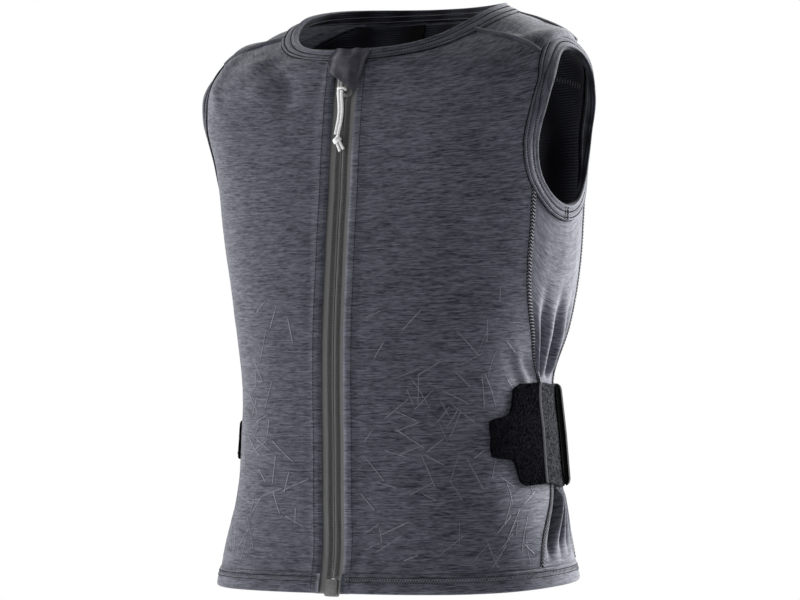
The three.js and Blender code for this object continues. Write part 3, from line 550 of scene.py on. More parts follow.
def repeated(name, template, places, along, out, scale=1):
    """One joined mesh of copies of a template, its x along and its z out of the cloth, at places in
    millimetres."""
    base = np.array([v.co for v in template.data.vertices])
    faces = [list(p.vertices) for p in template.data.polygons]
    bpy.data.objects.remove(template)
    x = unit(along)
    z = unit(out - x * np.sum(out * x, axis=1, keepdims=True))
    axes = np.stack([x, np.cross(z, x), z], 1)
    scale = np.broadcast_to(scale, (len(places), 3))
    points = places[:, None] + (base * scale[:, None]) @ axes
    every = [[i + k * len(base) for i in face] for k in range(len(places)) for face in faces]
    return piece_of(name, points.reshape(-1, 3), every)


def thread(length, width, height=None, segments=6, rings=5):
    """A template of one stitch: a plump stretch of thread."""
    bpy.ops.object.select_all(action="DESELECT")
    bpy.ops.mesh.primitive_uv_sphere_add(segments=segments, ring_count=rings, radius=0.5)
    piece = bpy.context.object
    in_edit_mode(
        piece,
        lambda: bpy.ops.transform.rotate(value=math.pi / 2, orient_axis="Y", center_override=(0, 0, 0)),
        lambda: bpy.ops.transform.resize(value=(length, width, height or width)),
    )
    return piece


def spaced(points, normals, pitch):
    """Places at a pitch along a line, with the line's direction and normal at each."""
    step = np.linalg.norm(np.diff(points, axis=0), axis=1)
    run = np.concatenate([[0], np.cumsum(step)])
    count = max(2, int(run[-1] / pitch))
    at = (np.arange(count) + 0.5) * run[-1] / count
    take = lambda values, where: np.stack([np.interp(where, run, values[:, i]) for i in range(3)], 1)
    direction = take(points, np.minimum(at + 0.4, run[-1])) - take(points, np.maximum(at - 0.4, 0))
    return take(points, at), direction, take(normals, at)


def stitched(name, lines, pitch, length, width, turn, finish):
    """Rows of stitches along lines, each an array of points and one of normals, in millimetres."""
    parts = zip(*(spaced(points, normals, pitch) for points, normals in lines))
    places, along, out = (np.concatenate(part) for part in parts)
    along, out = unit(along), unit(out)
    along = along * math.cos(turn) + np.cross(out, along) * math.sin(turn)
    return finished(repeated(name, thread(length, width), places, along, out), [finish])


def cloth_line(angle, station, height, side=1):
    """A line on the cloth and its normals."""
    angle, station = np.broadcast_arrays(np.asarray(angle, float), np.asarray(station, float))
    normal = slopes(angle, station)[2] * np.array([side, 1, 1])
    return cloth_point(angle, station, height, side), normal


# Materials
def node(tree, kind, settings=None, **inputs):
    """A shader node with its settings, and with its inputs set or linked. An input named _2 is the third."""
    made = tree.nodes.new(kind)
    for name, value in (settings or {}).items():
        setattr(made, name, value)
    for name, value in inputs.items():
        socket = made.inputs[int(name[1:]) if name[1:].isdigit() else name.replace("_", " ")]
        if isinstance(value, bpy.types.NodeSocket):
            tree.links.new(value, socket)
        else:
            socket.default_value = value
    return made


def grey(value, green=1, blue=1):
    """A grey whose green and blue are shares of its red."""
    return (value, value * green, value * blue, 1)


def new_group(name, inputs, outputs):
    """An empty shader node group with a vector and more inputs, which are numbers or colours."""
    tree = bpy.data.node_groups.new(name, "ShaderNodeTree")
    tree.interface.new_socket("Vector", in_out="INPUT", socket_type="NodeSocketVector")
    for title, value in inputs.items():
        kind = "NodeSocketColor" if isinstance(value, tuple) else "NodeSocketFloat"
        tree.interface.new_socket(title, in_out="INPUT", socket_type=kind).default_value = value
    for title, kind in outputs.items():
        tree.interface.new_socket(title, in_out="OUTPUT", socket_type=kind)
    return tree, tree.nodes.new("NodeGroupInput"), tree.nodes.new("NodeGroupOutput")


def math_node(tree, operation, a, b=0.5):
    return node(tree, "ShaderNodeMath", {"operation": operation}, _0=a, _1=b).outputs[0]


def sums(tree):
    """Makers of a tree's sums, products and quotients."""
    return (partial(math_node, tree, kind) for kind in ("ADD", "MULTIPLY", "DIVIDE"))


def noise(tree, place, detail, scale=1.0, roughness=0.6):
    settings = {"Scale": scale, "Detail": detail, "Roughness": roughness}
    return node(tree, "ShaderNodeTexNoise", None, Vector=place, **settings).outputs[0]


def tone(tree, share, dark, light):
    """A colour between two."""
    return node(tree, "ShaderNodeMix", {"data_type": "RGBA"}, Factor=share, _6=dark, _7=light).outputs[2]


def ranged(tree, value, low, high):
    """0 at low and 1 at high."""
    return node(tree, "ShaderNodeMapRange", None, Value=value, From_Min=low, From_Max=high).outputs[0]


def stretched_noise(tree, vector, across, up, detail, seed):
    """Noise whose specks are across and up metres long."""
    size, shift = (1 / across, 1 / up, 1), (seed, seed * 0.37, seed * 0.71)
    scaled = node(tree, "ShaderNodeVectorMath", {"operation": "MULTIPLY"}, _0=vector, _1=size)
    moved = node(tree, "ShaderNodeVectorMath", {"operation": "ADD"}, _0=scaled.outputs[0], _1=shift)
    return noise(tree, moved.outputs[0], detail)


def courses_noise(tree, vector, long, course, seed):
    """Noise that runs along the knitted courses: streaks so long in metres, each course on its own."""
    add, times, divide = sums(tree)
    parts = node(tree, "ShaderNodeSeparateXYZ", None, _0=vector)
    row = math_node(tree, "FLOOR", divide(parts.outputs[1], course))
    along = add(divide(parts.outputs[0], long), times(row, 3.71))
    place = node(tree, "ShaderNodeCombineXYZ", None, _0=along, _1=times(row, 7.39), _2=seed)
    return noise(tree, place.outputs[0], 1.0)


def heather_group():
    """Heather yarn: light and dark streaks along the courses of the knit, with fine ribs."""
    colours = {"Dark": (0.02, 0.02, 0.03, 1), "Light": (0.1, 0.1, 0.12, 1)}
    tree, start, end = new_group(
        "Heather knit",
        {**colours, "Contrast": 1.0, "Course": 0.0009, "Streak": 0.009},
        {"Colour": "NodeSocketColor", "Height": "NodeSocketFloat"},
    )
    add, times, divide = sums(tree)
    vector, course, streak = (start.outputs[title] for title in ("Vector", "Course", "Streak"))
    long = courses_noise(tree, vector, streak, course, 3.1)
    short = courses_noise(tree, vector, times(streak, 0.35), course, 11.7)
    broad = stretched_noise(tree, vector, 0.035, 0.006, 2.0, 23.3)
    up = node(tree, "ShaderNodeSeparateXYZ", None, _0=vector).outputs[1]
    ribs = math_node(tree, "SINE", times(divide(up, RIB_PITCH), math.tau))
    yarn = add(add(times(long, 0.55), times(short, 0.45)), times(broad, 0.12))
    yarn = times(add(add(yarn, -0.56), times(ribs, 0.025)), start.outputs["Contrast"])
    colour = tone(tree, ranged(tree, yarn, -0.17, 0.2), start.outputs["Dark"], start.outputs["Light"])
    tree.links.new(colour, end.inputs["Colour"])
    tree.links.new(add(times(long, 0.6), times(ribs, 0.12)), end.inputs["Height"])
    return tree


def weave_group():
    """Fine crossing ribs, as in tape, webbing and mesh."""
    inputs = {"Ribs Up": 400.0, "Ribs Across": 400.0, "Unevenness": 0.5}
    tree, start, end = new_group("Fine ribs", inputs, {"Height": "NodeSocketFloat"})
    add, times, _ = sums(tree)
    vector = start.outputs["Vector"]
    ribs = []
    for bands, title in (("Y", "Ribs Up"), ("X", "Ribs Across")):
        settings = {"Scale": start.outputs[title], "Distortion": 0.5, "Detail": 1.0}
        wave_node = node(tree, "ShaderNodeTexWave", {"bands_direction": bands}, Vector=vector, **settings)
        ribs.append(wave_node.outputs[1])
    specks = stretched_noise(tree, vector, 0.0016, 0.0009, 2.0, 5.0)
    height = add(times(*ribs), times(specks, start.outputs["Unevenness"]))
    tree.links.new(height, end.inputs["Height"])
    return tree


def blank_material(name, **settings):
    """A material, its tree and its shader with the named inputs set."""
    material = bpy.data.materials.new(name)
    material.use_nodes = True
    shader = material.node_tree.nodes["Principled BSDF"]
    for title, value in settings.items():
        shader.inputs[title.replace("_", " ")].default_value = value
    return material, material.node_tree, shader


def dressed(tree, shader, colour, height, strength, distance):
    """Links a colour and a relief to a shader."""
    relief = node(tree, "ShaderNodeBump", None, Height=height, Strength=strength, Distance=distance)
    tree.links.new(relief.outputs[0], shader.inputs["Normal"])
    tree.links.new(colour, shader.inputs["Base Color"])


def heather(
    name, dark, light, contrast=1.0, strength=0.5, pucker=True,
    course=0.00085, streak=0.015, sheen=0.12, shine=0.12,
):
    """Heather knit, with small puckers where the piece comes near a seam."""
    gloss = {"Roughness": 0.9, "Sheen Weight": sheen, "Sheen Roughness": 0.4, "Specular IOR Level": shine}
    material, tree, shader = blank_material(name, **gloss)
    uv = node(tree, "ShaderNodeUVMap").outputs[0]
    yarn = {"Dark": dark, "Light": light, "Contrast": contrast, "Course": course, "Streak": streak}
    knit = node(tree, "ShaderNodeGroup", {"node_tree": GROUPS["heather"]}, Vector=uv, **yarn)
    height = knit.outputs["Height"]
    if pucker:
        add, times, _ = sums(tree)
        seam = node(tree, "ShaderNodeAttribute", {"attribute_name": "seam"}).outputs["Fac"]
        folds = stretched_noise(tree, uv, 0.005, 0.005, 1.0, 41.0)
        height = add(height, times(times(folds, seam), 3.5))
    dressed(tree, shader, knit.outputs["Colour"], height, strength, 0.0004)
    return material


def plain_cloth(name, colour, ribs_up, ribs_across, strength=0.6, roughness=0.85, spread=0.35, uneven=0.6):
    """Woven tape, webbing or mesh in one colour that varies a little."""
    material, tree, shader = blank_material(name, Roughness=roughness, Specular_IOR_Level=0.06)
    ribs = {"Ribs Up": ribs_up, "Ribs Across": ribs_across, "Unevenness": uneven}
    uv = node(tree, "ShaderNodeUVMap").outputs[0]
    weave = node(tree, "ShaderNodeGroup", {"node_tree": GROUPS["weave"]}, Vector=uv, **ribs)
    height = weave.outputs["Height"]
    low, high = (tuple(min(1, c * far) for c in colour[:3]) + (1,) for far in (1 - spread, 1 + spread))
    share = math_node(tree, "MULTIPLY", height, 0.7)
    dressed(tree, shader, tone(tree, share, low, high), height, strength, 0.0004)
    return material


def speckled(name, dark, light, size, strength, roughness, shine=0.4, low=0.35, high=0.7, coat=0.0):
    """A finish with fine specks, such as hook-and-loop, thread or moulded plastic."""
    gloss = {"Roughness": roughness, "Specular IOR Level": shine, "Coat Weight": coat}
    material, tree, shader = blank_material(name, **gloss)
    place = node(tree, "ShaderNodeTexCoord").outputs["Object"]
    specks = noise(tree, place, 3.0, 1 / size, 0.65)
    colour = tone(tree, ranged(tree, specks, low, high), dark, light)
    dressed(tree, shader, colour, specks, strength, 0.0003)
    return material


RIB_PITCH = 0.0012
GROUPS = {}
FINISH = {}

# Each finish: how it is made, then its name, its colours and the rest, in the order that its maker takes
FINISHES = {
    "flap": (heather, "Flap knit", grey(0.014, 0.95, 1.3), grey(0.05, 0.97, 1.25), 0.7, 0.6),
    "seam": (
        heather, "Seam knit", grey(0.003, 1, 1.2), grey(0.02, 1, 1.2),
        0.8, 0.4, False, 0.00085, 0.015, 0.0, 0.02,
    ),
    "print": (heather, "Tonal print", grey(0.055, 1, 1.25), grey(0.115, 1, 1.18), 0.8, 0.3, False),
    "elastic": (
        heather, "Melange elastic", grey(0.0002, 1.1, 1.3), grey(0.016, 1.08, 1.25),
        3.4, 1.0, False, 0.0016, 0.0026, 0.0, 0.01,
    ),
    "inside": (plain_cloth, "Inside mesh", grey(0.014, 1.05, 1.5), 140, 9, 1.0, 0.8, 0.95, 0.35),
    "lining": (plain_cloth, "Ribbed lining mesh", grey(0.028, 1.03, 1.25), 140, 9, 1.0, 0.75, 0.97, 0.3),
    "lining_tape": (plain_cloth, "Black tape", grey(0.002), 500, 500, 0.4, 0.9),
    "tape": (plain_cloth, "Zip tape", grey(0.15), 620, 300, 0.3, 0.85, 0.12),
    "elastic_edge": (plain_cloth, "Elastic edge", grey(0.01, 1, 1.3), 500, 500, 0.5),
    "belt": (plain_cloth, "Belt back", grey(0.0035), 500, 500),
    "coil": (speckled, "Zip coil", grey(0.02), grey(0.04), 0.004, 0.1, 0.5, 0.3, 0.3),
    "box": (speckled, "Retainer box", grey(0.05), grey(0.11), 0.0009, 0.8, 0.6, 0.2, 0.35, 0.65),
    "slider": (speckled, "Slider metal", grey(0.05), grey(0.09), 0.0015, 0.15, 0.4, 0.5, 0.3, 0.7, 0.1),
    "cord": (speckled, "Pale braid", grey(0.42), grey(0.7), 0.0006, 0.8, 0.75, 0.2, 0.35, 0.6),
    "thread": (speckled, "Grey thread", grey(0.1, 1, 1.15), grey(0.24, 1, 1.1), 0.0008, 0.5, 0.8, 0.1),
    # The dark thread also makes the painted shadow lines beside the bindings and in the underarm joins.
    "dark_thread": (speckled, "Dark thread", grey(0.004), grey(0.012), 0.0008, 0.5, 0.9, 0.05),
    "tone_thread": (speckled, "Tonal thread", grey(0.08, 1, 1.15), grey(0.16, 1, 1.12), 0.0008, 0.5, 0.8),
    "tape_thread": (speckled, "Tape thread", grey(0.085), grey(0.115), 0.0008, 0.4, 0.9, 0.02),
    "lining_thread": (speckled, "Lining thread", grey(0.04), grey(0.08), 0.0008, 0.5, 0.8, 0.1),
    "fuzz": (speckled, "Hook-and-loop", grey(0.0007), grey(0.009, 1, 1.35), 0.0011, 1.0, 0.95, 0.0, 0.4),
    "foam": (speckled, "Protector foam", grey(0.01), grey(0.025), 0.002, 0.5, 0.7),
}


def make_finishes(sizes):
    GROUPS.update(heather=heather_group(), weave=weave_group())
    yarn = [tuple(colour) + (1,) for colour in (sizes.cloth_dark, sizes.cloth_light)]
    FINISH["knit"] = heather("Heather knit", *yarn)
    FINISH["binding"] = heather("Binding knit", *yarn, 0.75, 0.4)
    for finish, (maker, *settings) in FINISHES.items():
        FINISH[finish] = maker(*settings)


# Panels
def knit_panel(piece, pucker, node_name):
    """Lines a panel and finishes it in the vest's knit."""
    puckered(piece, pucker)
    lined(piece, CLOTH)
    return finished(piece, ["knit", "inside"], [node_name])


def make_front(side, word):
    def place(s, t):
        station = along_panel(t, -1)
        angle = mix(angle_at_x_by_row(ZIP_OPENING, station), panel_edge(station, -1), s)
        return cloth_point(angle, station, front_height(angle, station, side), side)

    piece = shaped(f"front_cloth_{word}", 66, 170, place, 0, side)
    uv = np.zeros((len(piece.data.vertices), 2))
    uv[corners_of(piece.data)] = [d.uv[:] for d in piece.data.uv_layers.active.data]
    width = np.zeros(len(uv))
    for key in np.unique(np.round(uv[:, 1], 6)):
        row = np.abs(uv[:, 1] - key) < 1e-6
        width[row] = uv[row, 0].max()
    edge = np.minimum(width - uv[:, 0], np.minimum(uv[:, 1] + 0.003, 0.43 - uv[:, 1])) / MM
    pucker = np.exp(-edge / 5) + 0.7 * np.exp(-np.abs(uv[:, 0] / MM - 7) / 2.5)
    knit_panel(piece, pucker, f"front_panel_{word}")


def make_side(side, word):
    top_front, top_back = (seam_angle(SEAM_TOP[end], end) for end in (-1, 1))

    def place(s, t):
        top = armhole_station(mix(top_front, top_back, s), -1)
        front, back = (seam_angle(mix(HEM_HEIGHT, SEAM_TOP[end], t), end) for end in (-1, 1))
        angle, station = mix(front, back, s), mix(HEM_HEIGHT, top, t)
        uneven = 0.5 * wave(angle * side * 3, station) * settle(s * 90) * settle((1 - s) * 90)
        return cloth_point(angle, station, CLOTH + gather(s, station) + uneven, side)

    piece = shaped(f"side_cloth_{word}", 80, 150, place, 0.5, side)
    knit_panel(piece, 0.25, f"side_panel_{word}")


def make_back():
    def place(s, t):
        station = along_panel(t, 1)
        edge = panel_edge(station, 1)
        angle = mix(edge, 180 - edge, s)
        inset = np.minimum(s, 1 - s)
        puff = 0.48 * smooth(inset * 6) * smooth((station - 40) / 60) * smooth((430 - station) / 40)
        uneven = 0.8 * wave(angle, station) * smooth(inset * 12) * off_ends(station)
        return cloth_point(angle, station, CLOTH + puff + uneven)

    piece = shaped("back_cloth", 104, 150, place, 0.5)
    knit_panel(piece, 0.1, "back_panel")


def make_yoke(side, word):
    def place(s, t):
        start = armhole_station(mix(YOKE_FRONT[0], YOKE_BACK[0], s), 1)
        angle = mix(yoke_seam(-1, t), yoke_seam(1, t), s)
        station = mix(start, NECK, t)
        inside = settle(s * 60, 8) * settle((1 - s) * 60, 8) * smooth(t * 5) * smooth((1 - t) * 6)
        return cloth_point(angle, station, CLOTH + shoulder_puff(angle, station) * inside * 1.25, side)

    piece = shaped(f"yoke_cloth_{word}", 40, 48, place, 0.5, side)
    knit_panel(piece, 0.45, f"shoulder_yoke_{word}")


# The hem's folded strip: station and height, once round
HEM_PROFILE = [
    (0.6, 2.2), (2.5, 2.75), (9, 2.75), (11.3, 2.5), (12.4, 2.2), (13.4, 2.5), (14.6, 2.2), (14.9, 1.4),
    (14.6, 0.5), (10, 0.1), (2.5, 0.1), (0.6, 0.5), (0.0, 1.3), (0.6, 2.2),
]


def make_hem():
    run = np.linspace(0, 1, len(HEM_PROFILE))
    stations, heights = np.transpose(HEM_PROFILE)

    def place(s, t):
        station = np.interp(s, run, stations)
        start = angle_at_x_by_row(ZIP_OPENING, np.round(station, 4))
        return cloth_point(mix(start, 180 - start, t), station, np.interp(s, run, heights))

    piece = shaped("hem_cloth", 26, 300, place, 0, 1, loop=True, swap=True)
    puckered(piece, 0.25)
    finished(piece, ["knit"], ["hem_band"])


# Bindings: distance in from the cloth's edge, and height, once round the folded strip and back inside it
BINDING_PROFILE = [
    (11, 2.4), (11, 2.9), (10.3, 3.3), (9.6, 3.2), (8.9, 2.65), (8.2, 3.15), (6.6, 3.25), (5.0, 3.1),
    (4.2, 2.6), (3.4, 3.1), (2.3, 3.25), (1.4, 2.9), (0.5, 3.45), (-0.6, 3.5), (-1.5, 2.8),
    (-1.8, 1.2), (-1.5, -0.6), (-0.6, -1.5), (3, -1.8), (7, -1.8), (11, -1.6),
    (11, -0.85), (7, -0.8), (2, -0.8), (-0.75, -0.75), (-0.8, 0.8), (-0.75, 2.35), (2, 2.4), (7, 2.4),
    (11, 2.4),
]
BINDING_ROWS = ((8.9, 2.95), (4.2, 2.9))
# The profile's point past which the binding is dark inside, at the armholes and at the neck
ARM_INSIDE, NECK_INSIDE = 12.5, 15.5


def profile_at(profile, s):
    """The two measures of a profile at each column of a grid."""
    return np.array(profile, float)[np.round(s * (len(profile) - 1)).astype(int)].T


def beside(path, distance):
    """Angle and station at a distance in from a path, which gives its angles, stations and direction."""
    angle, station, round_it, climbing = path
    around, up, normal = slopes(angle, station)
    cross = unit(np.cross(normal, around * round_it[:, None] + up * climbing[:, None]))
    aa, uu, au = (around**2).sum(1), (up**2).sum(1), (around * up).sum(1)
    ca, cu = (cross * around).sum(1), (cross * up).sum(1)
    share = distance / (aa * uu - au * au)
    return angle - (ca * uu - cu * au) * share, station - (cu * aa - ca * au) * share


def edging(name, count, path, side=1, ring=False):
    """A folded strip along an edge of the cloth."""
    columns = len(BINDING_PROFILE) - 1

    def place(s, t):
        distance, height = profile_at(BINDING_PROFILE, s)
        return cloth_point(*beside(path(t), distance), height, side)

    inside = (ARM_INSIDE if ring else NECK_INSIDE) / columns
    piece = shaped(name, columns, count, place, 0, side, loop=True, ring=ring, swap=True, inside=inside)
    puckered(piece, 0.3)
    return piece


def neck_path(t):
    start = float(angle_at_x(ZIP_OPENING, NECK))
    return mix(start, 180 - start, t), np.full(t.shape, NECK), np.ones(t.shape), np.zeros(t.shape)


def arm_path(t):
    turn = t * 2 * math.pi
    return (
        ARMHOLE_MIDDLE + ARMHOLE_REACH * np.cos(turn),
        ARM_MIDDLE + ARM_HALF * np.sin(turn),
        -ARMHOLE_REACH * np.sin(turn),
        ARM_HALF * np.cos(turn),
    )


def edge_line(path, distance, height, side=1, count=400, ends=(0, 1)):
    """A line that runs at a distance in from an edge of the cloth, and its normals."""
    return cloth_line(*beside(path(np.linspace(*ends, count)), distance), height, side)


def make_bindings(sizes):
    piece = edging("neck_edge", 300, neck_path)
    finished(piece, ["binding", "inside"], ["neck_binding"])
    under = [edge_line(neck_path, d, -2.0, ends=(0.22, 0.78)) for d in (9, 3)]
    stitched("neck_inside_stitches", under, 2.1, 1.4, 0.7, 0, "tone_thread")
    edges = {"neck": (neck_path, 1)}
    for word, side in ALL_ROUND:
        edges[word] = (arm_path, side)
        piece = edging(f"armhole_edge_{word}", 240, arm_path, side, ring=True)
        finished(piece, ["binding", "inside"], [f"armhole_binding_{word}"])
        down = np.linspace(0.2, 10.6, 30)
        join = [edge_line(arm_path, down, 3.45, side, 30, (at, at)) for at in (0.736, 0.748)]
        stitched(f"underarm_join_{word}", join, 1.7, 1.5, 0.9, 0.5, "thread")
        # Painted shadow: a continuous line of dark stitches sunk between the two rows of the join stands in
        # for the shade in its groove.
        dip = [edge_line(arm_path, down, 3.3, side, 30, (0.742, 0.742))]
        stitched(f"underarm_groove_shadow_{word}", dip, 1.2, 1.6, 0.7, 0, "dark_thread")
    for name, (path, side) in edges.items():
        rows = [edge_line(path, d, h, side) for d, h in BINDING_ROWS]
        stitched(f"binding_stitches_{name}", rows, sizes.stitch_pitch / MM, 1.3, 1.0, 0, "dark_thread")
        # Painted shadow: a continuous row of dark stitches just outside each binding stands in for the shade
        # in the groove beside its edge.
        edge = [edge_line(path, 11.6, CLOTH + 0.1, side)]
        stitched(f"binding_shadow_line_{name}", edge, 1.5, 1.6, 0.8, 0, "dark_thread")


# A seam ridge: shares of its width and its height
RIDGE = [
    (-0.5, -0.3), (-0.5, 0.1), (-0.36, 0.6), (-0.15, 0.95), (0.15, 0.95), (0.36, 0.6), (0.5, 0.1),
    (0.5, -0.3), (-0.5, -0.3),
]


def seam_band(name, angle, station, width, height, side, finish):
    """A low rounded ridge along a seam."""
    run = np.linspace(0, 1, len(angle))
    line = (angle, station, np.gradient(angle), np.gradient(station))

    def place(s, t):
        off, lift = profile_at(RIDGE, s)
        path = [np.interp(t, run, values) for values in line]
        return cloth_point(*beside(path, off * width), CLOTH + lift * height, side)

    piece = shaped(name, len(RIDGE) - 1, len(angle) // 2, place, 0, side, loop=True, swap=True)
    puckered(piece, 0.5)
    return finished(piece, [finish], ())


def make_seams(sizes):
    """Flatlock seams: a low ridge with a ladder of threads between two rows of stitches."""
    for word, side in ALL_ROUND:
        for end, name in ((-1, "front"), (1, "back")):
            station = np.linspace(HEM_HEIGHT + 1, SEAM_TOP[end] - 4, 300)
            angle = seam_angle(station, end)
            seam_band(f"seam_ridge_{name}_{word}", angle, station, 4.8, 0.5, side, "seam")
            degree = 1 / np.linalg.norm(slopes(angle, station)[0], axis=1)
            rows = [cloth_line(angle + off * degree, station, CLOTH + 0.55, side) for off in (-1.9, 1.9)]
            rungs = [cloth_line(angle, station, CLOTH + 0.8, side)]
            stitched(f"seam_rows_{name}_{word}", rows, 2.6, 1.1, 0.6, 0.2, "thread")
            stitched(f"seam_rungs_{name}_{word}", rungs, 2.6, 4.0, 0.85, 0.95, "thread")
        for end, name in ((-1, "yoke_front"), (1, "yoke_back")):
            t = np.linspace(0.21, 0.86, 120)
            station = mix(YOKE_STATION[end], NECK, t)
            angle = yoke_seam(end, t)
            seam_band(f"seam_ridge_{name}_{word}", angle, station, 5.6, 2.0, side, "binding")
            points = [cloth_line(angle, station, CLOTH + 1.95, side)]
            stitched(f"seam_rungs_{name}_{word}", points, 1.9, 3.0, 0.55, 1.0, "tone_thread")


def make_hem_stitches(sizes):
    """The cover stitch of the hem: two rows of dots with a hatch between them."""
    rows = {}
    for station, height in ((8.6, 2.8), (12.2, 2.45), (10.4, 2.7)):
        start = float(angle_at_x(ZIP_OPENING + 3, station))
        angle = np.linspace(start, 180 - start, 900)
        rows[station] = cloth_line(angle, np.full(900, float(station)), height)
    dots = [rows[8.6], rows[12.2]]
    stitched("hem_stitches", dots, sizes.stitch_pitch / MM, 1.35, 0.75, 0, "dark_thread")
    stitched("hem_hatch", [rows[10.4]], sizes.stitch_pitch / MM, 3.0, 0.4, 1.2, "tone_thread")


def make_topstitches(sizes):
    """The stitching beside the zip, through each front's folded edge."""
    for word, side in ALL_ROUND:
        station = np.linspace(3, NECK - 16, 500)
        inner = angle_at_x(np.full(500, float(ZIP_OPENING)), station)
        angle = walk_around(inner, station, 7.3)
        low = np.where(station < HEM_HEIGHT, 2.8, front_height(angle, station, side) + 0.12)
        line = [cloth_line(angle, station, low, side)]
        stitched(f"zip_topstitch_{word}", line, 2.4, 1.9, 0.5, 0, "dark_thread")


# Zip
TAPE_HIGH = -LAYER_GAP
TAPE_LOW = TAPE_HIGH - 1.0
COIL_HIGH = TAPE_LOW - LAYER_GAP
COIL_LOW = COIL_HIGH - 1.6
BOX_TOP = float(station_at_drop(-max(v.co.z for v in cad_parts["zip_box"].data.vertices) / MM, "front"))
TAPE_TOP = float(walk_front(NECK, -BINDING_WIDTH - 2 * BINDING_GAP))
SLIDER = float(station_at_drop(SLIDER_DROP, "front"))
SLIDER_FOOT = float(walk_front(SLIDER, -SLIDER_LENGTH / 2))


def tape_inner(station):
    parted = mix(TAPE_SLIT, TAPE_PARTING, smooth((station - SLIDER_FOOT) / (SLIDER - SLIDER_FOOT)))
    return np.where(station < BOX_TOP + 0.2, BOX_WIDTH / 2 + 0.3, parted)


def make_zip(sizes):
    for word, side in ALL_ROUND:
        def place(s, t):
            station = np.interp(t, [0, 0.03, 0.035, 1], [0, BOX_TOP + 0.14, BOX_TOP + 0.26, TAPE_TOP])
            x = mix(tape_inner(station), TAPE_HALF, s)
            bead = 0.12 * bump(x, 1.2, 0.9) - 0.1 * bump(x, 4.8, 0.5)
            return cloth_point(angle_at_x(x, station), station, TAPE_HIGH + bead, side)

        piece = shaped(f"zip_cloth_{word}", 16, 200, place, 0, side)
        thickened(piece, 1.0)
        finished(piece, ["tape"], [f"zip_tape_{word}"])
        station = np.linspace(BOX_TOP + 1, TAPE_TOP - 6, 800)
        x = tape_inner(station) + 3.2
        ticks = [cloth_line(angle_at_x(x, station), station, TAPE_HIGH + 0.1, side)]
        stitched(f"coil_stitches_{word}", ticks, 1.15, 0.4, 5.2, 0, "tape_thread")
        station = np.linspace(BOX_TOP + 0.9, SLIDER_FOOT, 800)
        angle = angle_at_x(np.full(800, 1.2), station)
        points, normals = cloth_line(angle, station, (COIL_HIGH + COIL_LOW) / 2, side)
        places, along, out = spaced(points, normals, 1.5)
        places = places + unit(along) * 0.375 * side
        across = np.cross(out, along)
        coil = repeated(f"zip_teeth_{word}", thread(3.1, 0.62, 1.4, 8, 6), places, across, out)
        finished(coil, ["coil"], [f"zip_coil_{word}"])


def from_frame(name, source, width, finish):
    """A copy of a frame node with its edges rounded."""
    piece = frame_copy(name, source, lambda: bpy.ops.mesh.dissolve_limited(angle_limit=math.radians(2)))
    rounded_edges(piece, width, 35, 2)
    finished(piece, [finish], [source])
    bpy.ops.object.shade_smooth_by_angle(angle=math.radians(40))


def make_slider():
    from_frame("slider_body", "zip_slider", 0.28, "slider")
    from_frame("retainer_box", "zip_box", 0.4, "box")


SLIDER_TOP = TAPE_HIGH + LAYER_GAP + 1.3
BRIDGE = CORD_DIAMETER + 2 * CORD_GAP
HITCH_HEIGHT = SLIDER_TOP + BRIDGE + 0.6
HITCH_LIFT = 0.6 + CORD_GAP + CORD_DIAMETER / 2
HITCH_REACH = 1.3 + CORD_GAP + CORD_DIAMETER / 2
CORD_DROP = HITCH_DROP + CORD_DIAMETER / 2 + CORD_GAP
CORD_SPACING = CORD_DIAMETER / 2 + CORD_GAP / 2
BRAID = 0.12
CORD_LOW = CLOTH + CORD_GAP + CORD_DIAMETER / 2
# A strand's way: along it, sideways in diameters, and its lift as a share of the hitch's height
CORD_ROUTE = [
    (0, 0, 1), (0.1, 0, 0.95), (0.3, 0, 0.55), (0.5, -0.15, 0.2), (0.7, -0.5, 0.05), (0.85, -0.95, 0),
    (1, -1.3, 0),
]


def cord_points(strand, along):
    station = walk_front(np.full(along.shape, SLIDER), -CORD_DROP - along * CORD_LENGTH)
    run, sideways, lifts = np.transpose(CORD_ROUTE)
    lift = through(run, lifts, along)
    points = cloth_point(np.full(along.shape, -90.0), station, mix(CORD_LOW, HITCH_HEIGHT + HITCH_LIFT, lift))
    points[:, 0] += strand * CORD_SPACING + through(run, sideways, along) * CORD_DIAMETER
    return points


def along_line(values, share, t):
    return np.stack([np.interp(t, share, values[:, i]) for i in range(3)], 1)


def tube(name, line, radius, columns, rows, ring=False):
    """A round cord along a line, with the relief of its braid."""
    ahead = np.roll(line, -1, 0) - np.roll(line, 1, 0) if ring else np.gradient(line, axis=0)
    if ring:
        line, ahead = np.vstack([line, line[:1]]), np.vstack([ahead, ahead[:1]])
    ahead = unit(ahead)
    share = np.linspace(0, 1, len(line))
    length = len(line) * np.linalg.norm(np.diff(line, axis=0), axis=1).mean()

    def place(s, t):
        along = unit(along_line(ahead, share, t))
        one = unit(np.cross(along, np.array([0.13, 1.0, 0.21])))
        two = np.cross(along, one)
        turn = s * 2 * math.pi
        plies = [0.5 + 0.5 * np.cos(4 * turn + lay * t * length) for lay in (2.6, -2.6)]
        relief = radius * (1 - BRAID * plies[0] * plies[1])
        out = one * (relief * np.cos(turn))[:, None] + two * (relief * np.sin(turn))[:, None]
        return along_line(line, share, t) + out

    return shaped(name, columns, rows, place, 0, 1, loop=True, ring=ring)


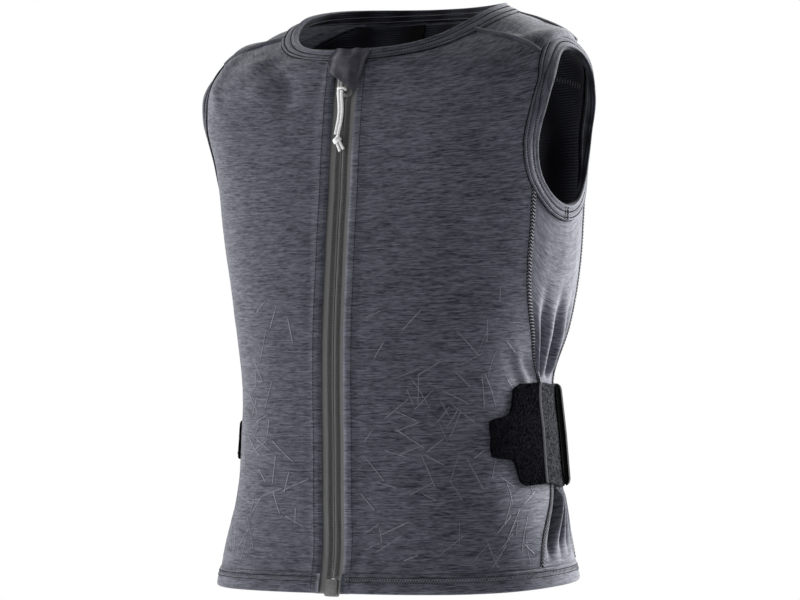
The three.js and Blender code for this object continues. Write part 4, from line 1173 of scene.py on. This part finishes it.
def make_cord():
    start = np.array([-90.0]), np.array([SLIDER])
    centre, (_, up, normal) = body_point(*start)[0], slopes(*start)
    climb, out = unit(up[0]), normal[0]
    turn = np.linspace(0, 2 * math.pi, 48, endpoint=False)
    across, lift = (np.sign(v) * np.abs(v) ** 0.75 for v in (np.cos(turn), np.sin(turn)))
    loop = centre - climb * HITCH_DROP + np.outer(across * HITCH_REACH, (1.0, 0, 0))
    loop = loop + np.outer(HITCH_HEIGHT + lift * HITCH_LIFT, out)
    hitch = tube("cord_hitch", loop, CORD_DIAMETER / 2, 16, 64, ring=True)
    finished(hitch, ["cord"], ["pull_hitch"])
    end = cord_points(0, np.array([1.0]))[0]
    end[2] -= KNOT_DIAMETER / 2 + CORD_GAP
    knot = make_knot(end)
    for word, strand in (("left", 1), ("right", -1)):
        line = cord_points(strand, np.linspace(0, 1, 60))
        piece = tube(f"cord_strand_{word}", line, CORD_DIAMETER / 2, 16, 90)
        finished(piece, ["cord"], [f"pull_cord_{word}"])


def tilted(x, y, z):
    """Points turned by the knot's tilt."""
    cos, sin = math.cos(KNOT_TILT), math.sin(KNOT_TILT)
    return np.stack([x * cos - z * sin, y, x * sin + z * cos], 1)


def make_knot(centre):
    """The knot: turns of cord pulled tight, with two cut tails."""
    t = np.linspace(0, 1, 90)
    turn = t * 2 * math.pi * 2.4
    radius = 2.35 + 0.25 * np.sin(turn * 0.7)
    rise = mix(2.0, -2.0, t) + 0.9 * np.sin(turn + 0.6)
    turns = tilted(radius * np.cos(turn), radius * 0.75 * np.sin(turn), rise)
    wrap = tube("knot_wrap", centre + turns, 1.2, 14, 120)
    drop = np.linspace(0, 1, 14)
    tails = []
    for k in (-1, 1):
        tail = tilted(k * 1.2 + k * 0.6 * drop, np.zeros(14), -1.0 - drop * 8.2)
        tails.append(tube(f"knot_tail_{k}", centre + tail, 1.15, 14, 24))
    select_only(wrap)
    for tail in tails:
        tail.select_set(True)
    bpy.ops.object.join()
    wrap.name = wrap.data.name = "cord_knot"
    return finished(wrap, ["cord"], ["pull_knot"])


# Across the garage, and its lower and upper edge as shares of GARAGE_DROP
GARAGE_OUTLINE = [
    (0, 0.34, 0.22), (0.07, 0.47, 0.13), (0.18, 0.58, -0.03), (0.32, 0.69, -0.05), (0.45, 0.78, -0.03),
    (0.58, 0.86, -0.03), (0.7, 0.94, -0.05), (0.78, 1, -0.04), (0.82, 0.93, -0.03), (0.9, 0.5, -0.03),
    (1, 0.06, -0.03),
]


def make_garage():
    base = CLOTH + 2 * BINDING_GAP + BINDING_THICKNESS
    hood = max(0, SLIDER_TOP + BRIDGE + 1.2 + 2 * LAYER_GAP - base)
    middle = GARAGE_LEFT / (GARAGE_LEFT + GARAGE_RIGHT)
    run, low_edge, high_edge = np.transpose(GARAGE_OUTLINE)

    def place(s, t):
        top = np.full(s.shape, NECK)
        foot, head = (walk_front(top, -GARAGE_DROP * through(run, edge, s)) for edge in (low_edge, high_edge))
        low = base + hood * smooth(1.75 - np.abs(s - middle) / 0.22) * smooth(2.4 - 2.4 * t)
        pucker = 0.5 * np.sin(s * 19 + 0.6) * bump(t, 1, 0.35) + 0.35 * np.sin(s * 9 + t * 6)
        pucker = pucker * smooth((1 - s) * 8)
        station = mix(foot, head, t)
        x = mix(-GARAGE_LEFT + 1.8, GARAGE_RIGHT, s)
        angle = angle_at_x(np.abs(x), station)
        angle = np.where(x < 0, -180 - angle, angle)
        return cloth_point(angle, station, low + GARAGE_THICKNESS + pucker)

    piece = shaped("garage_cloth", 48, 36, place, 0, 1)
    puckered(piece, 0.6)
    thickened(piece, GARAGE_THICKNESS)
    rounded_edges(piece, 0.6)
    finished(piece, ["flap"], ["zip_garage"])


# Belt
TAB_OUTLINE = [
    (0, -0.42), (0.03, -0.2), (0.1, -0.06), (0.2, 0.05), (0.245, 0.14), (0.268, 0.32), (0.285, 0.72),
    (0.3, 0.92), (0.34, 0.99), (0.5, 1), (0.62, 1), (0.66, 0.94), (0.678, 0.76), (0.692, 0.38),
    (0.717, 0.18), (0.76, 0.07), (0.88, -0.04), (0.97, -0.16), (1, -0.4),
]


def belt_station(t):
    return station_at_drop(mix(BELT_TOP_DROP + BELT_HEIGHT, BELT_TOP_DROP, t))


def belt_sag(t):
    """How far the belt hangs lower at the back, from its foot to its head."""
    return mix(4.6, 2.6, t)


def belt_station_by_row(t):
    rows, back = np.unique(np.round(t, 6), return_inverse=True)
    return belt_station(rows)[back].reshape(np.shape(t))


def tab_reach(t):
    """How far the tab reaches forward from its seam with the elastic."""
    return TAB_BASE + TAB_NOSE * through(*np.transpose(TAB_OUTLINE), t)


def past_tab(t, station, distance):
    """The angle at a distance behind the tab's seam with the elastic."""
    return walk_around(mix(*TAB_END, t), station, distance)


def make_tab(side, word, rng):
    def tab(s, t):
        station, reach = belt_station_by_row(t), tab_reach(t)
        puff = 0.35 * smooth(s * reach / 4) * smooth(t * 15) * smooth((1 - t) * 15)
        angle = past_tab(t, station, -reach * (1 - s))
        return cloth_point(angle, station, BELT_LOW + TAB_THICKNESS - 0.35 + puff, side)

    piece = shaped(f"tab_fuzz_{word}", 36, 120, tab, 1, side)
    thickened(piece, TAB_THICKNESS - 0.4)
    rounded_edges(piece, 0.7)
    finished(piece, ["fuzz"], [f"belt_tab_{word}"])
    loops = []
    for _ in range(1500):
        loops.append((rng.random() ** 0.8, rng.random(), rng.random() * math.pi, rng.uniform(0.7, 1.4)))
    s, t, turn, size = np.transpose(loops)
    station = belt_station(t)
    angle = past_tab(t, station, -(tab_reach(t) - 0.6) * (1 - s))
    points, normals = cloth_line(angle, station, BELT_LOW + TAB_THICKNESS + 0.05, side)
    around = unit(slopes(angle, station)[0] * np.array([side, 1, 1]))
    along = around * np.cos(turn)[:, None] + np.cross(normals, around) * np.sin(turn)[:, None]
    scale = np.stack([size, size * 0.8, size], 1)
    fuzz = repeated(f"tab_loops_{word}", thread(1.5, 0.3, 0.45, 5, 4), points, along, normals, scale)
    finished(fuzz, ["fuzz"])


def make_elastic(side, word):
    def elastic(s, t):
        level = belt_station_by_row(t)
        start = past_tab(t, level, 0.5)
        end = walk_around(start, level, ELASTIC_WIDTH)
        station = level - belt_sag(t) * smooth(s * 1.6)
        rib = 0.14 * np.sin(t * BELT_HEIGHT * 2 * math.pi / 3.1)
        return cloth_point(mix(start, end, s), station, BELT_LOW + ELASTIC_THICKNESS + rib, side)

    piece = shaped(f"elastic_web_{word}", 40, 110, elastic, 0, side)
    thickened(piece, ELASTIC_THICKNESS * 0.8)
    finished(piece, ["elastic"], [f"belt_elastic_{word}"])

    def strip(s, t):
        station = belt_station_by_row(t)
        start = past_tab(t, station, -1.6)
        end = walk_around(start, station, 4.6)
        round_top = 0.5 * np.sin(s * math.pi)
        return cloth_point(mix(start, end, s), station, BELT_LOW + TAB_THICKNESS + 0.25 + round_top, side)

    piece = shaped(f"elastic_fold_{word}", 8, 60, strip, 0, side)
    thickened(piece, 0.5)
    finished(piece, ["elastic_edge"], ())


# The back of the belt, once round: share of its height, and how far it stands out
BELT_PROFILE = [
    (0.0, 1.6), (0.02, 3.6), (0.06, 4.6), (0.3, 5), (0.5, 5), (0.7, 5), (0.94, 4.6), (0.98, 3.6), (1.0, 1.6),
    (0.98, 0.1), (0.5, 0.0), (0.02, 0.1), (0.0, 1.6),
]


def make_belt(sizes):
    rng = random.Random(7)
    for word, side in ALL_ROUND:
        make_tab(side, word, rng)
        make_elastic(side, word)

    def back(s, t):
        across, height = profile_at(BELT_PROFILE, s)
        start = mix(*BELT_BACK_START, across)
        low = BELT_LOW + ELASTIC_THICKNESS + LAYER_GAP
        height = height * mix(0.9, 1, smooth(np.minimum(t, 1 - t) * 120))
        station = belt_station(across) - belt_sag(across)
        return cloth_point(mix(start, 180 - start, t), station, low + height)

    piece = shaped("belt_pad", 12, 120, back, 0, 1, loop=True)
    finished(piece, ["belt"], ["belt_back"])


# Lining and protector
def lining_high(across, along):
    rise = lambda share, over: smooth(share / over) * smooth((1 - share) / over)
    return -LINING_GAP - (PAD_THICKNESS + LAYER_GAP) * rise(across, 0.18) * rise(along, 0.12)


BELT_FOOT = float(station_at_drop(BELT_TOP_DROP + BELT_HEIGHT))
LINING_FOOT = HEM_HEIGHT + 0.25 + (BELT_FOOT - 1.5 - HEM_HEIGHT) / 4
LINING_TOP = mix(YOKE_STATION[1], NECK, 0.71)


def on_lining(s, t):
    """Angle and station of a place on the lining, and how far its folds sink in there."""
    station = mix(LINING_FOOT, LINING_TOP, t)
    edge = panel_edge(station, 1)
    near = np.minimum(s, 1 - s)
    folds = 1.1 * np.sin(t * 46 + near * 22) + 0.7 * np.sin(t * 29 - near * 15) - 1.8
    return mix(edge, 180 - edge, mix(0.1, 0.9, s)), station, folds * bump(near, 0.15, 0.09)


def make_lining():
    def place(s, t):
        angle, station, folds = on_lining(s, t)
        return cloth_point(angle, station, lining_high(s, t) + folds * settle(t * 400, 30))

    piece = shaped("lining_mesh", 90, 130, place, 0.5)
    lined(piece, LINING_THICKNESS)
    finished(piece, ["inside", "lining"], ["back_lining"])
    for word, side in ALL_ROUND:
        s = np.linspace(0.02, 0.36, 200)
        t = 0.845 + 0.035 * bump(s, 0.2, 0.14)
        angle, station, folds = on_lining(s, t)
        line = [cloth_line(angle, station, lining_high(s, t) - LINING_THICKNESS - 0.35 + folds, side)]
        stitched(f"lining_overlock_{word}", line, 2.1, 5.2, 0.8, 1.57, "lining_thread")

        def tape(s, t):
            station = mix(LINING_TOP - 62, LINING_TOP, t)
            width = 13 * mix(1, 1.3, 1 - t)
            across = (station - LINING_FOOT) / (LINING_TOP - LINING_FOOT)
            low = lining_high(0.5, across) - LINING_THICKNESS - 2 * LAYER_GAP
            return cloth_point(angle_at_x(25 + width * (s - 0.5), station, 1), station, low - 1.0, side)

        piece = shaped(f"neck_tape_{word}", 6, 30, tape, 0.5, side)
        thickened(piece, 1.0, offset=1)
        finished(piece, ["lining_tape"], [f"lining_tape_{word}"])


def coordinates(piece):
    return np.array([v.co for v in piece.data.vertices])


def make_protector():
    """The protector: a foam pad that swells a little between the back and its lining."""
    shrink = lambda: bpy.ops.transform.shrink_fatten(value=-0.0012)
    piece = frame_copy("protector_pad", "back_protector", shrink)
    apply(piece, "REMESH", mode="VOXEL", voxel_size=0.005)
    before = coordinates(piece)
    cloth = piece.modifiers.new("Cloth", "CLOTH")
    cloth.settings.use_pressure = True
    cloth.settings.uniform_pressure_force = 4
    cloth.settings.effector_weights.gravity = 0
    for step in range(1, 21):
        bpy.context.scene.frame_set(step)
    select_only(piece)
    bpy.ops.object.modifier_apply(modifier="Cloth")
    move = coordinates(piece) - before
    far = np.linalg.norm(move, axis=1, keepdims=True)
    after = before + move * np.minimum(1, 0.001 / np.maximum(far, 1e-9))
    piece.data.vertices.foreach_set("co", after.ravel())
    bpy.context.scene.frame_set(1)
    finished(piece, ["foam"], ["back_protector"])


def make_print(sizes):
    """Scattered thin strokes on the lower fronts, laid out at random."""
    rng = random.Random(sizes.print_seed)
    for word, side in ALL_ROUND:
        strokes = []
        while len(strokes) < sizes.print_strokes:
            station = rng.uniform(22, 225)
            if rng.random() > smooth((250 - station) / 150):
                continue
            across = rng.uniform(0.08, 0.9)
            turn = rng.choice([-1, 1]) * rng.uniform(0.25, 1.45)
            strokes.append((across, station, turn, rng.uniform(13, 34), rng.uniform(0.35, 0.6)))
        points, faces, pattern = [], [], []
        for across, station, turn, long, half in strokes:
            steps = 10
            along = np.linspace(-0.5, 0.5, steps) * long
            middle = np.full(steps, station) + along * math.sin(turn)
            middle = np.clip(middle, 19, 235)
            inner, outer = angle_at_x(np.full(steps, float(ZIP_OPENING)), middle), panel_edge(middle, -1)
            degree = 1 / np.linalg.norm(slopes(inner, middle)[0], axis=1)
            place = mix(inner, outer, across) + along * math.cos(turn) * degree
            place = np.clip(place, inner + 9 * degree, outer - 5 * degree)
            width = half * smooth((0.5 - np.abs(along / long)) * 12) + 0.05
            for edge in (-1, 1):
                a = place - edge * width * math.sin(turn) * degree
                b = middle + edge * width * math.cos(turn)
                at = cloth_point(a, b, front_height(a, b, side) + 0.07, side)
                points.append(at)
                pattern.append(np.stack([(a - inner) / degree, b], 1) * MM)
            start = (len(points) - 2) * steps
            for k in range(steps - 1):
                quad = [start + k, start + k + 1, start + steps + k + 1, start + steps + k]
                faces.append(quad if side > 0 else quad[::-1])
        points, pattern = np.concatenate(points), np.concatenate(pattern)
        piece = piece_of(f"print_{word}", points, faces)
        layer = piece.data.uv_layers.new(name="UVMap")
        layer.data.foreach_set("uv", pattern[corners_of(piece.data)].ravel())
        thickened(piece, 0.1, offset=0)
        finished(piece, ["print"], ())


# The camera, in degrees and metres
CAMERA_AZIMUTH, CAMERA_ROLL, CAMERA_LENS, CAMERA_AWAY = 33, 2, 132.7, 2.3
AIM_HEIGHT, AIM_LEFT = -0.2223, 3 * 0.00078
# The lights: name, turn from the camera, distance, height, width and share of their power
SIDE_BOXES = (("Left box", -114, 1.7, 0.2, 1.1, 1.0), ("Right box", 121, 1.35, 0.26, 0.8, 1.6))
FRONT_BOX = ("Front box", -20, 2.8, 0.9, 1.6, 1.0)


def make_stage(sizes):
    bpy.ops.object.select_all(action="DESELECT")
    bpy.ops.mesh.primitive_circle_add(vertices=96, radius=3, fill_type="NGON", location=(0, 0, -1.1))
    floor = bpy.context.object
    floor.name = "studio_floor"
    material, tree, shader = blank_material("Pale floor", Roughness=0.8)
    shader.inputs["Base Color"].default_value = (0.95, 0.95, 0.95, 1)
    floor.data.materials.append(material)
    world = bpy.data.worlds.new("Studio")
    bpy.context.scene.world = world
    world.use_nodes = True
    tree = world.node_tree
    soft = tree.nodes["Background"]
    soft.inputs["Color"].default_value = (1, 1, 1, 1)
    soft.inputs["Strength"].default_value = sizes.sky
    white = node(tree, "ShaderNodeBackground", None, Color=(1, 1, 1, 1), Strength=1.0)
    seen = node(tree, "ShaderNodeLightPath").outputs["Is Camera Ray"]
    both = node(tree, "ShaderNodeMixShader", None, _0=seen, _1=soft.outputs[0], _2=white.outputs[0])
    tree.links.new(both.outputs[0], tree.nodes["World Output"].inputs["Surface"])
    scene = bpy.context.scene
    scene.view_settings.view_transform = "Standard"
    azimuth = math.radians(CAMERA_AZIMUTH)
    right = Vector((math.cos(azimuth), math.sin(azimuth), 0))
    ahead = Vector((-math.sin(azimuth), math.cos(azimuth), 0))
    aim = Vector((0, 0, AIM_HEIGHT)) - right * AIM_LEFT
    camera = bpy.data.objects.new("Camera", bpy.data.cameras.new("Camera"))
    scene.collection.objects.link(camera)
    scene.camera = camera
    camera.data.lens = CAMERA_LENS
    camera.data.sensor_width = 36
    camera.location = aim - ahead * CAMERA_AWAY
    level = ahead.to_track_quat("-Z", "Y")
    camera.rotation_mode = "QUATERNION"
    camera.rotation_quaternion = Quaternion(ahead, math.radians(CAMERA_ROLL)) @ level
    for name, turn, away, height, size, share in (*SIDE_BOXES, FRONT_BOX):
        light = bpy.data.lights.new(name, "AREA")
        light.shape = "RECTANGLE"
        light.size, light.size_y = size, size * 1.4
        light.energy = share * (sizes.front_light if name == FRONT_BOX[0] else sizes.side_light)
        lamp = bpy.data.objects.new(name, light)
        scene.collection.objects.link(lamp)
        swing = math.radians(turn)
        spot = (-ahead * math.cos(swing) + right * math.sin(swing)) * away
        lamp.location = (spot.x, spot.y, -0.2 + height)
        look = Vector((0, 0, -0.22)) - Vector(lamp.location)
        lamp.rotation_euler = look.to_track_quat("-Z", "Y").to_euler()


# The add-on
class VestSizes(bpy.types.PropertyGroup):
    stitch_pitch: bpy.props.FloatProperty(
        name="Stitch pitch", description="Distance from one stitch to the next", default=0.0021, unit="LENGTH"
    )
    print_strokes: bpy.props.IntProperty(
        name="Strokes", description="Printed strokes on each front", default=80
    )
    print_seed: bpy.props.IntProperty(
        name="Stroke layout", description="Another number gives another layout", default=11
    )
    sky: bpy.props.FloatProperty(name="Sky", description="Strength of the light from all round", default=0.66)
    side_light: bpy.props.FloatProperty(
        name="Side light", description="Power of each side box", default=80.0, unit="POWER"
    )
    front_light: bpy.props.FloatProperty(
        name="Front light", description="Power of the front box", default=3.0, unit="POWER"
    )
    cloth_dark: bpy.props.FloatVectorProperty(
        name="Dark yarn", description="Darkest yarn of the knit", subtype="COLOR",
        default=(0.0125, 0.013, 0.02),
    )
    cloth_light: bpy.props.FloatVectorProperty(
        name="Light yarn", description="Lightest yarn of the knit", subtype="COLOR",
        default=(0.08, 0.083, 0.103),
    )


def vest_operator(label, text, work):
    """An operator that builds some of the vest's pieces."""

    def execute(self, context):
        work(context.scene.vest_sizes)
        return {"FINISHED"}

    word = label.lower().replace(" ", "_").replace("-", "_")
    return type(
        f"VEST_OT_{word}",
        (bpy.types.Operator,),
        {"__doc__": text, "bl_idname": f"vest.{word}", "bl_label": label, "execute": execute},
    )


def make_panels(sizes):
    for word, side in ALL_ROUND:
        make_front(side, word)
        make_side(side, word)
        make_yoke(side, word)
    make_back()


OPERATORS = [
    vest_operator("Finishes", "Makes the materials of every piece", make_finishes),
    vest_operator("Panels", "Makes the fronts, sides, shoulder yokes and back", make_panels),
    vest_operator("Hem", "Makes the hem band", lambda sizes: make_hem()),
    vest_operator("Bindings", "Makes the neck and armhole bindings", make_bindings),
    vest_operator("Seams", "Sews the flatlock seams", make_seams),
    vest_operator("Hem stitches", "Sews the hem", make_hem_stitches),
    vest_operator("Topstitches", "Sews the fold beside the zip", make_topstitches),
    vest_operator("Zip", "Makes the zip's tapes and coils", make_zip),
    vest_operator("Slider", "Makes the slider and the retainer box", lambda sizes: make_slider()),
    vest_operator("Pull cord", "Makes the cord with its hitch and knot", lambda sizes: make_cord()),
    vest_operator("Garage", "Makes the flap over the zip's end", lambda sizes: make_garage()),
    vest_operator("Belt", "Makes the waist belt", make_belt),
    vest_operator("Lining", "Makes the mesh lining and its tapes", lambda sizes: make_lining()),
    vest_operator("Protector", "Makes the back protector", lambda sizes: make_protector()),
    vest_operator("Print", "Lays the printed strokes", make_print),
    vest_operator("Stage", "Sets the floor, the lights and the camera", make_stage),
]


class VEST_PT_panel(bpy.types.Panel):
    """The vest's sizes and steps"""

    bl_label = "Protective vest"
    bl_idname = "VEST_PT_panel"
    bl_space_type = "VIEW_3D"
    bl_region_type = "UI"
    bl_category = "Vest"

    def draw(self, context):
        for name in VestSizes.__annotations__:
            self.layout.prop(context.scene.vest_sizes, name)
        for operator in OPERATORS:
            self.layout.operator(operator.bl_idname)


def register():
    bpy.utils.register_class(VestSizes)
    bpy.types.Scene.vest_sizes = bpy.props.PointerProperty(type=VestSizes)
    for operator in OPERATORS:
        bpy.utils.register_class(operator)
    bpy.utils.register_class(VEST_PT_panel)


def unregister():
    bpy.utils.unregister_class(VEST_PT_panel)
    for operator in reversed(OPERATORS):
        bpy.utils.unregister_class(operator)
    del bpy.types.Scene.vest_sizes
    bpy.utils.unregister_class(VestSizes)


def main():
    register()
    for operator in OPERATORS:
        step = getattr(bpy.ops.vest, operator.bl_idname.split(".")[1])
        step()


if __name__ == "__main__":
    main()
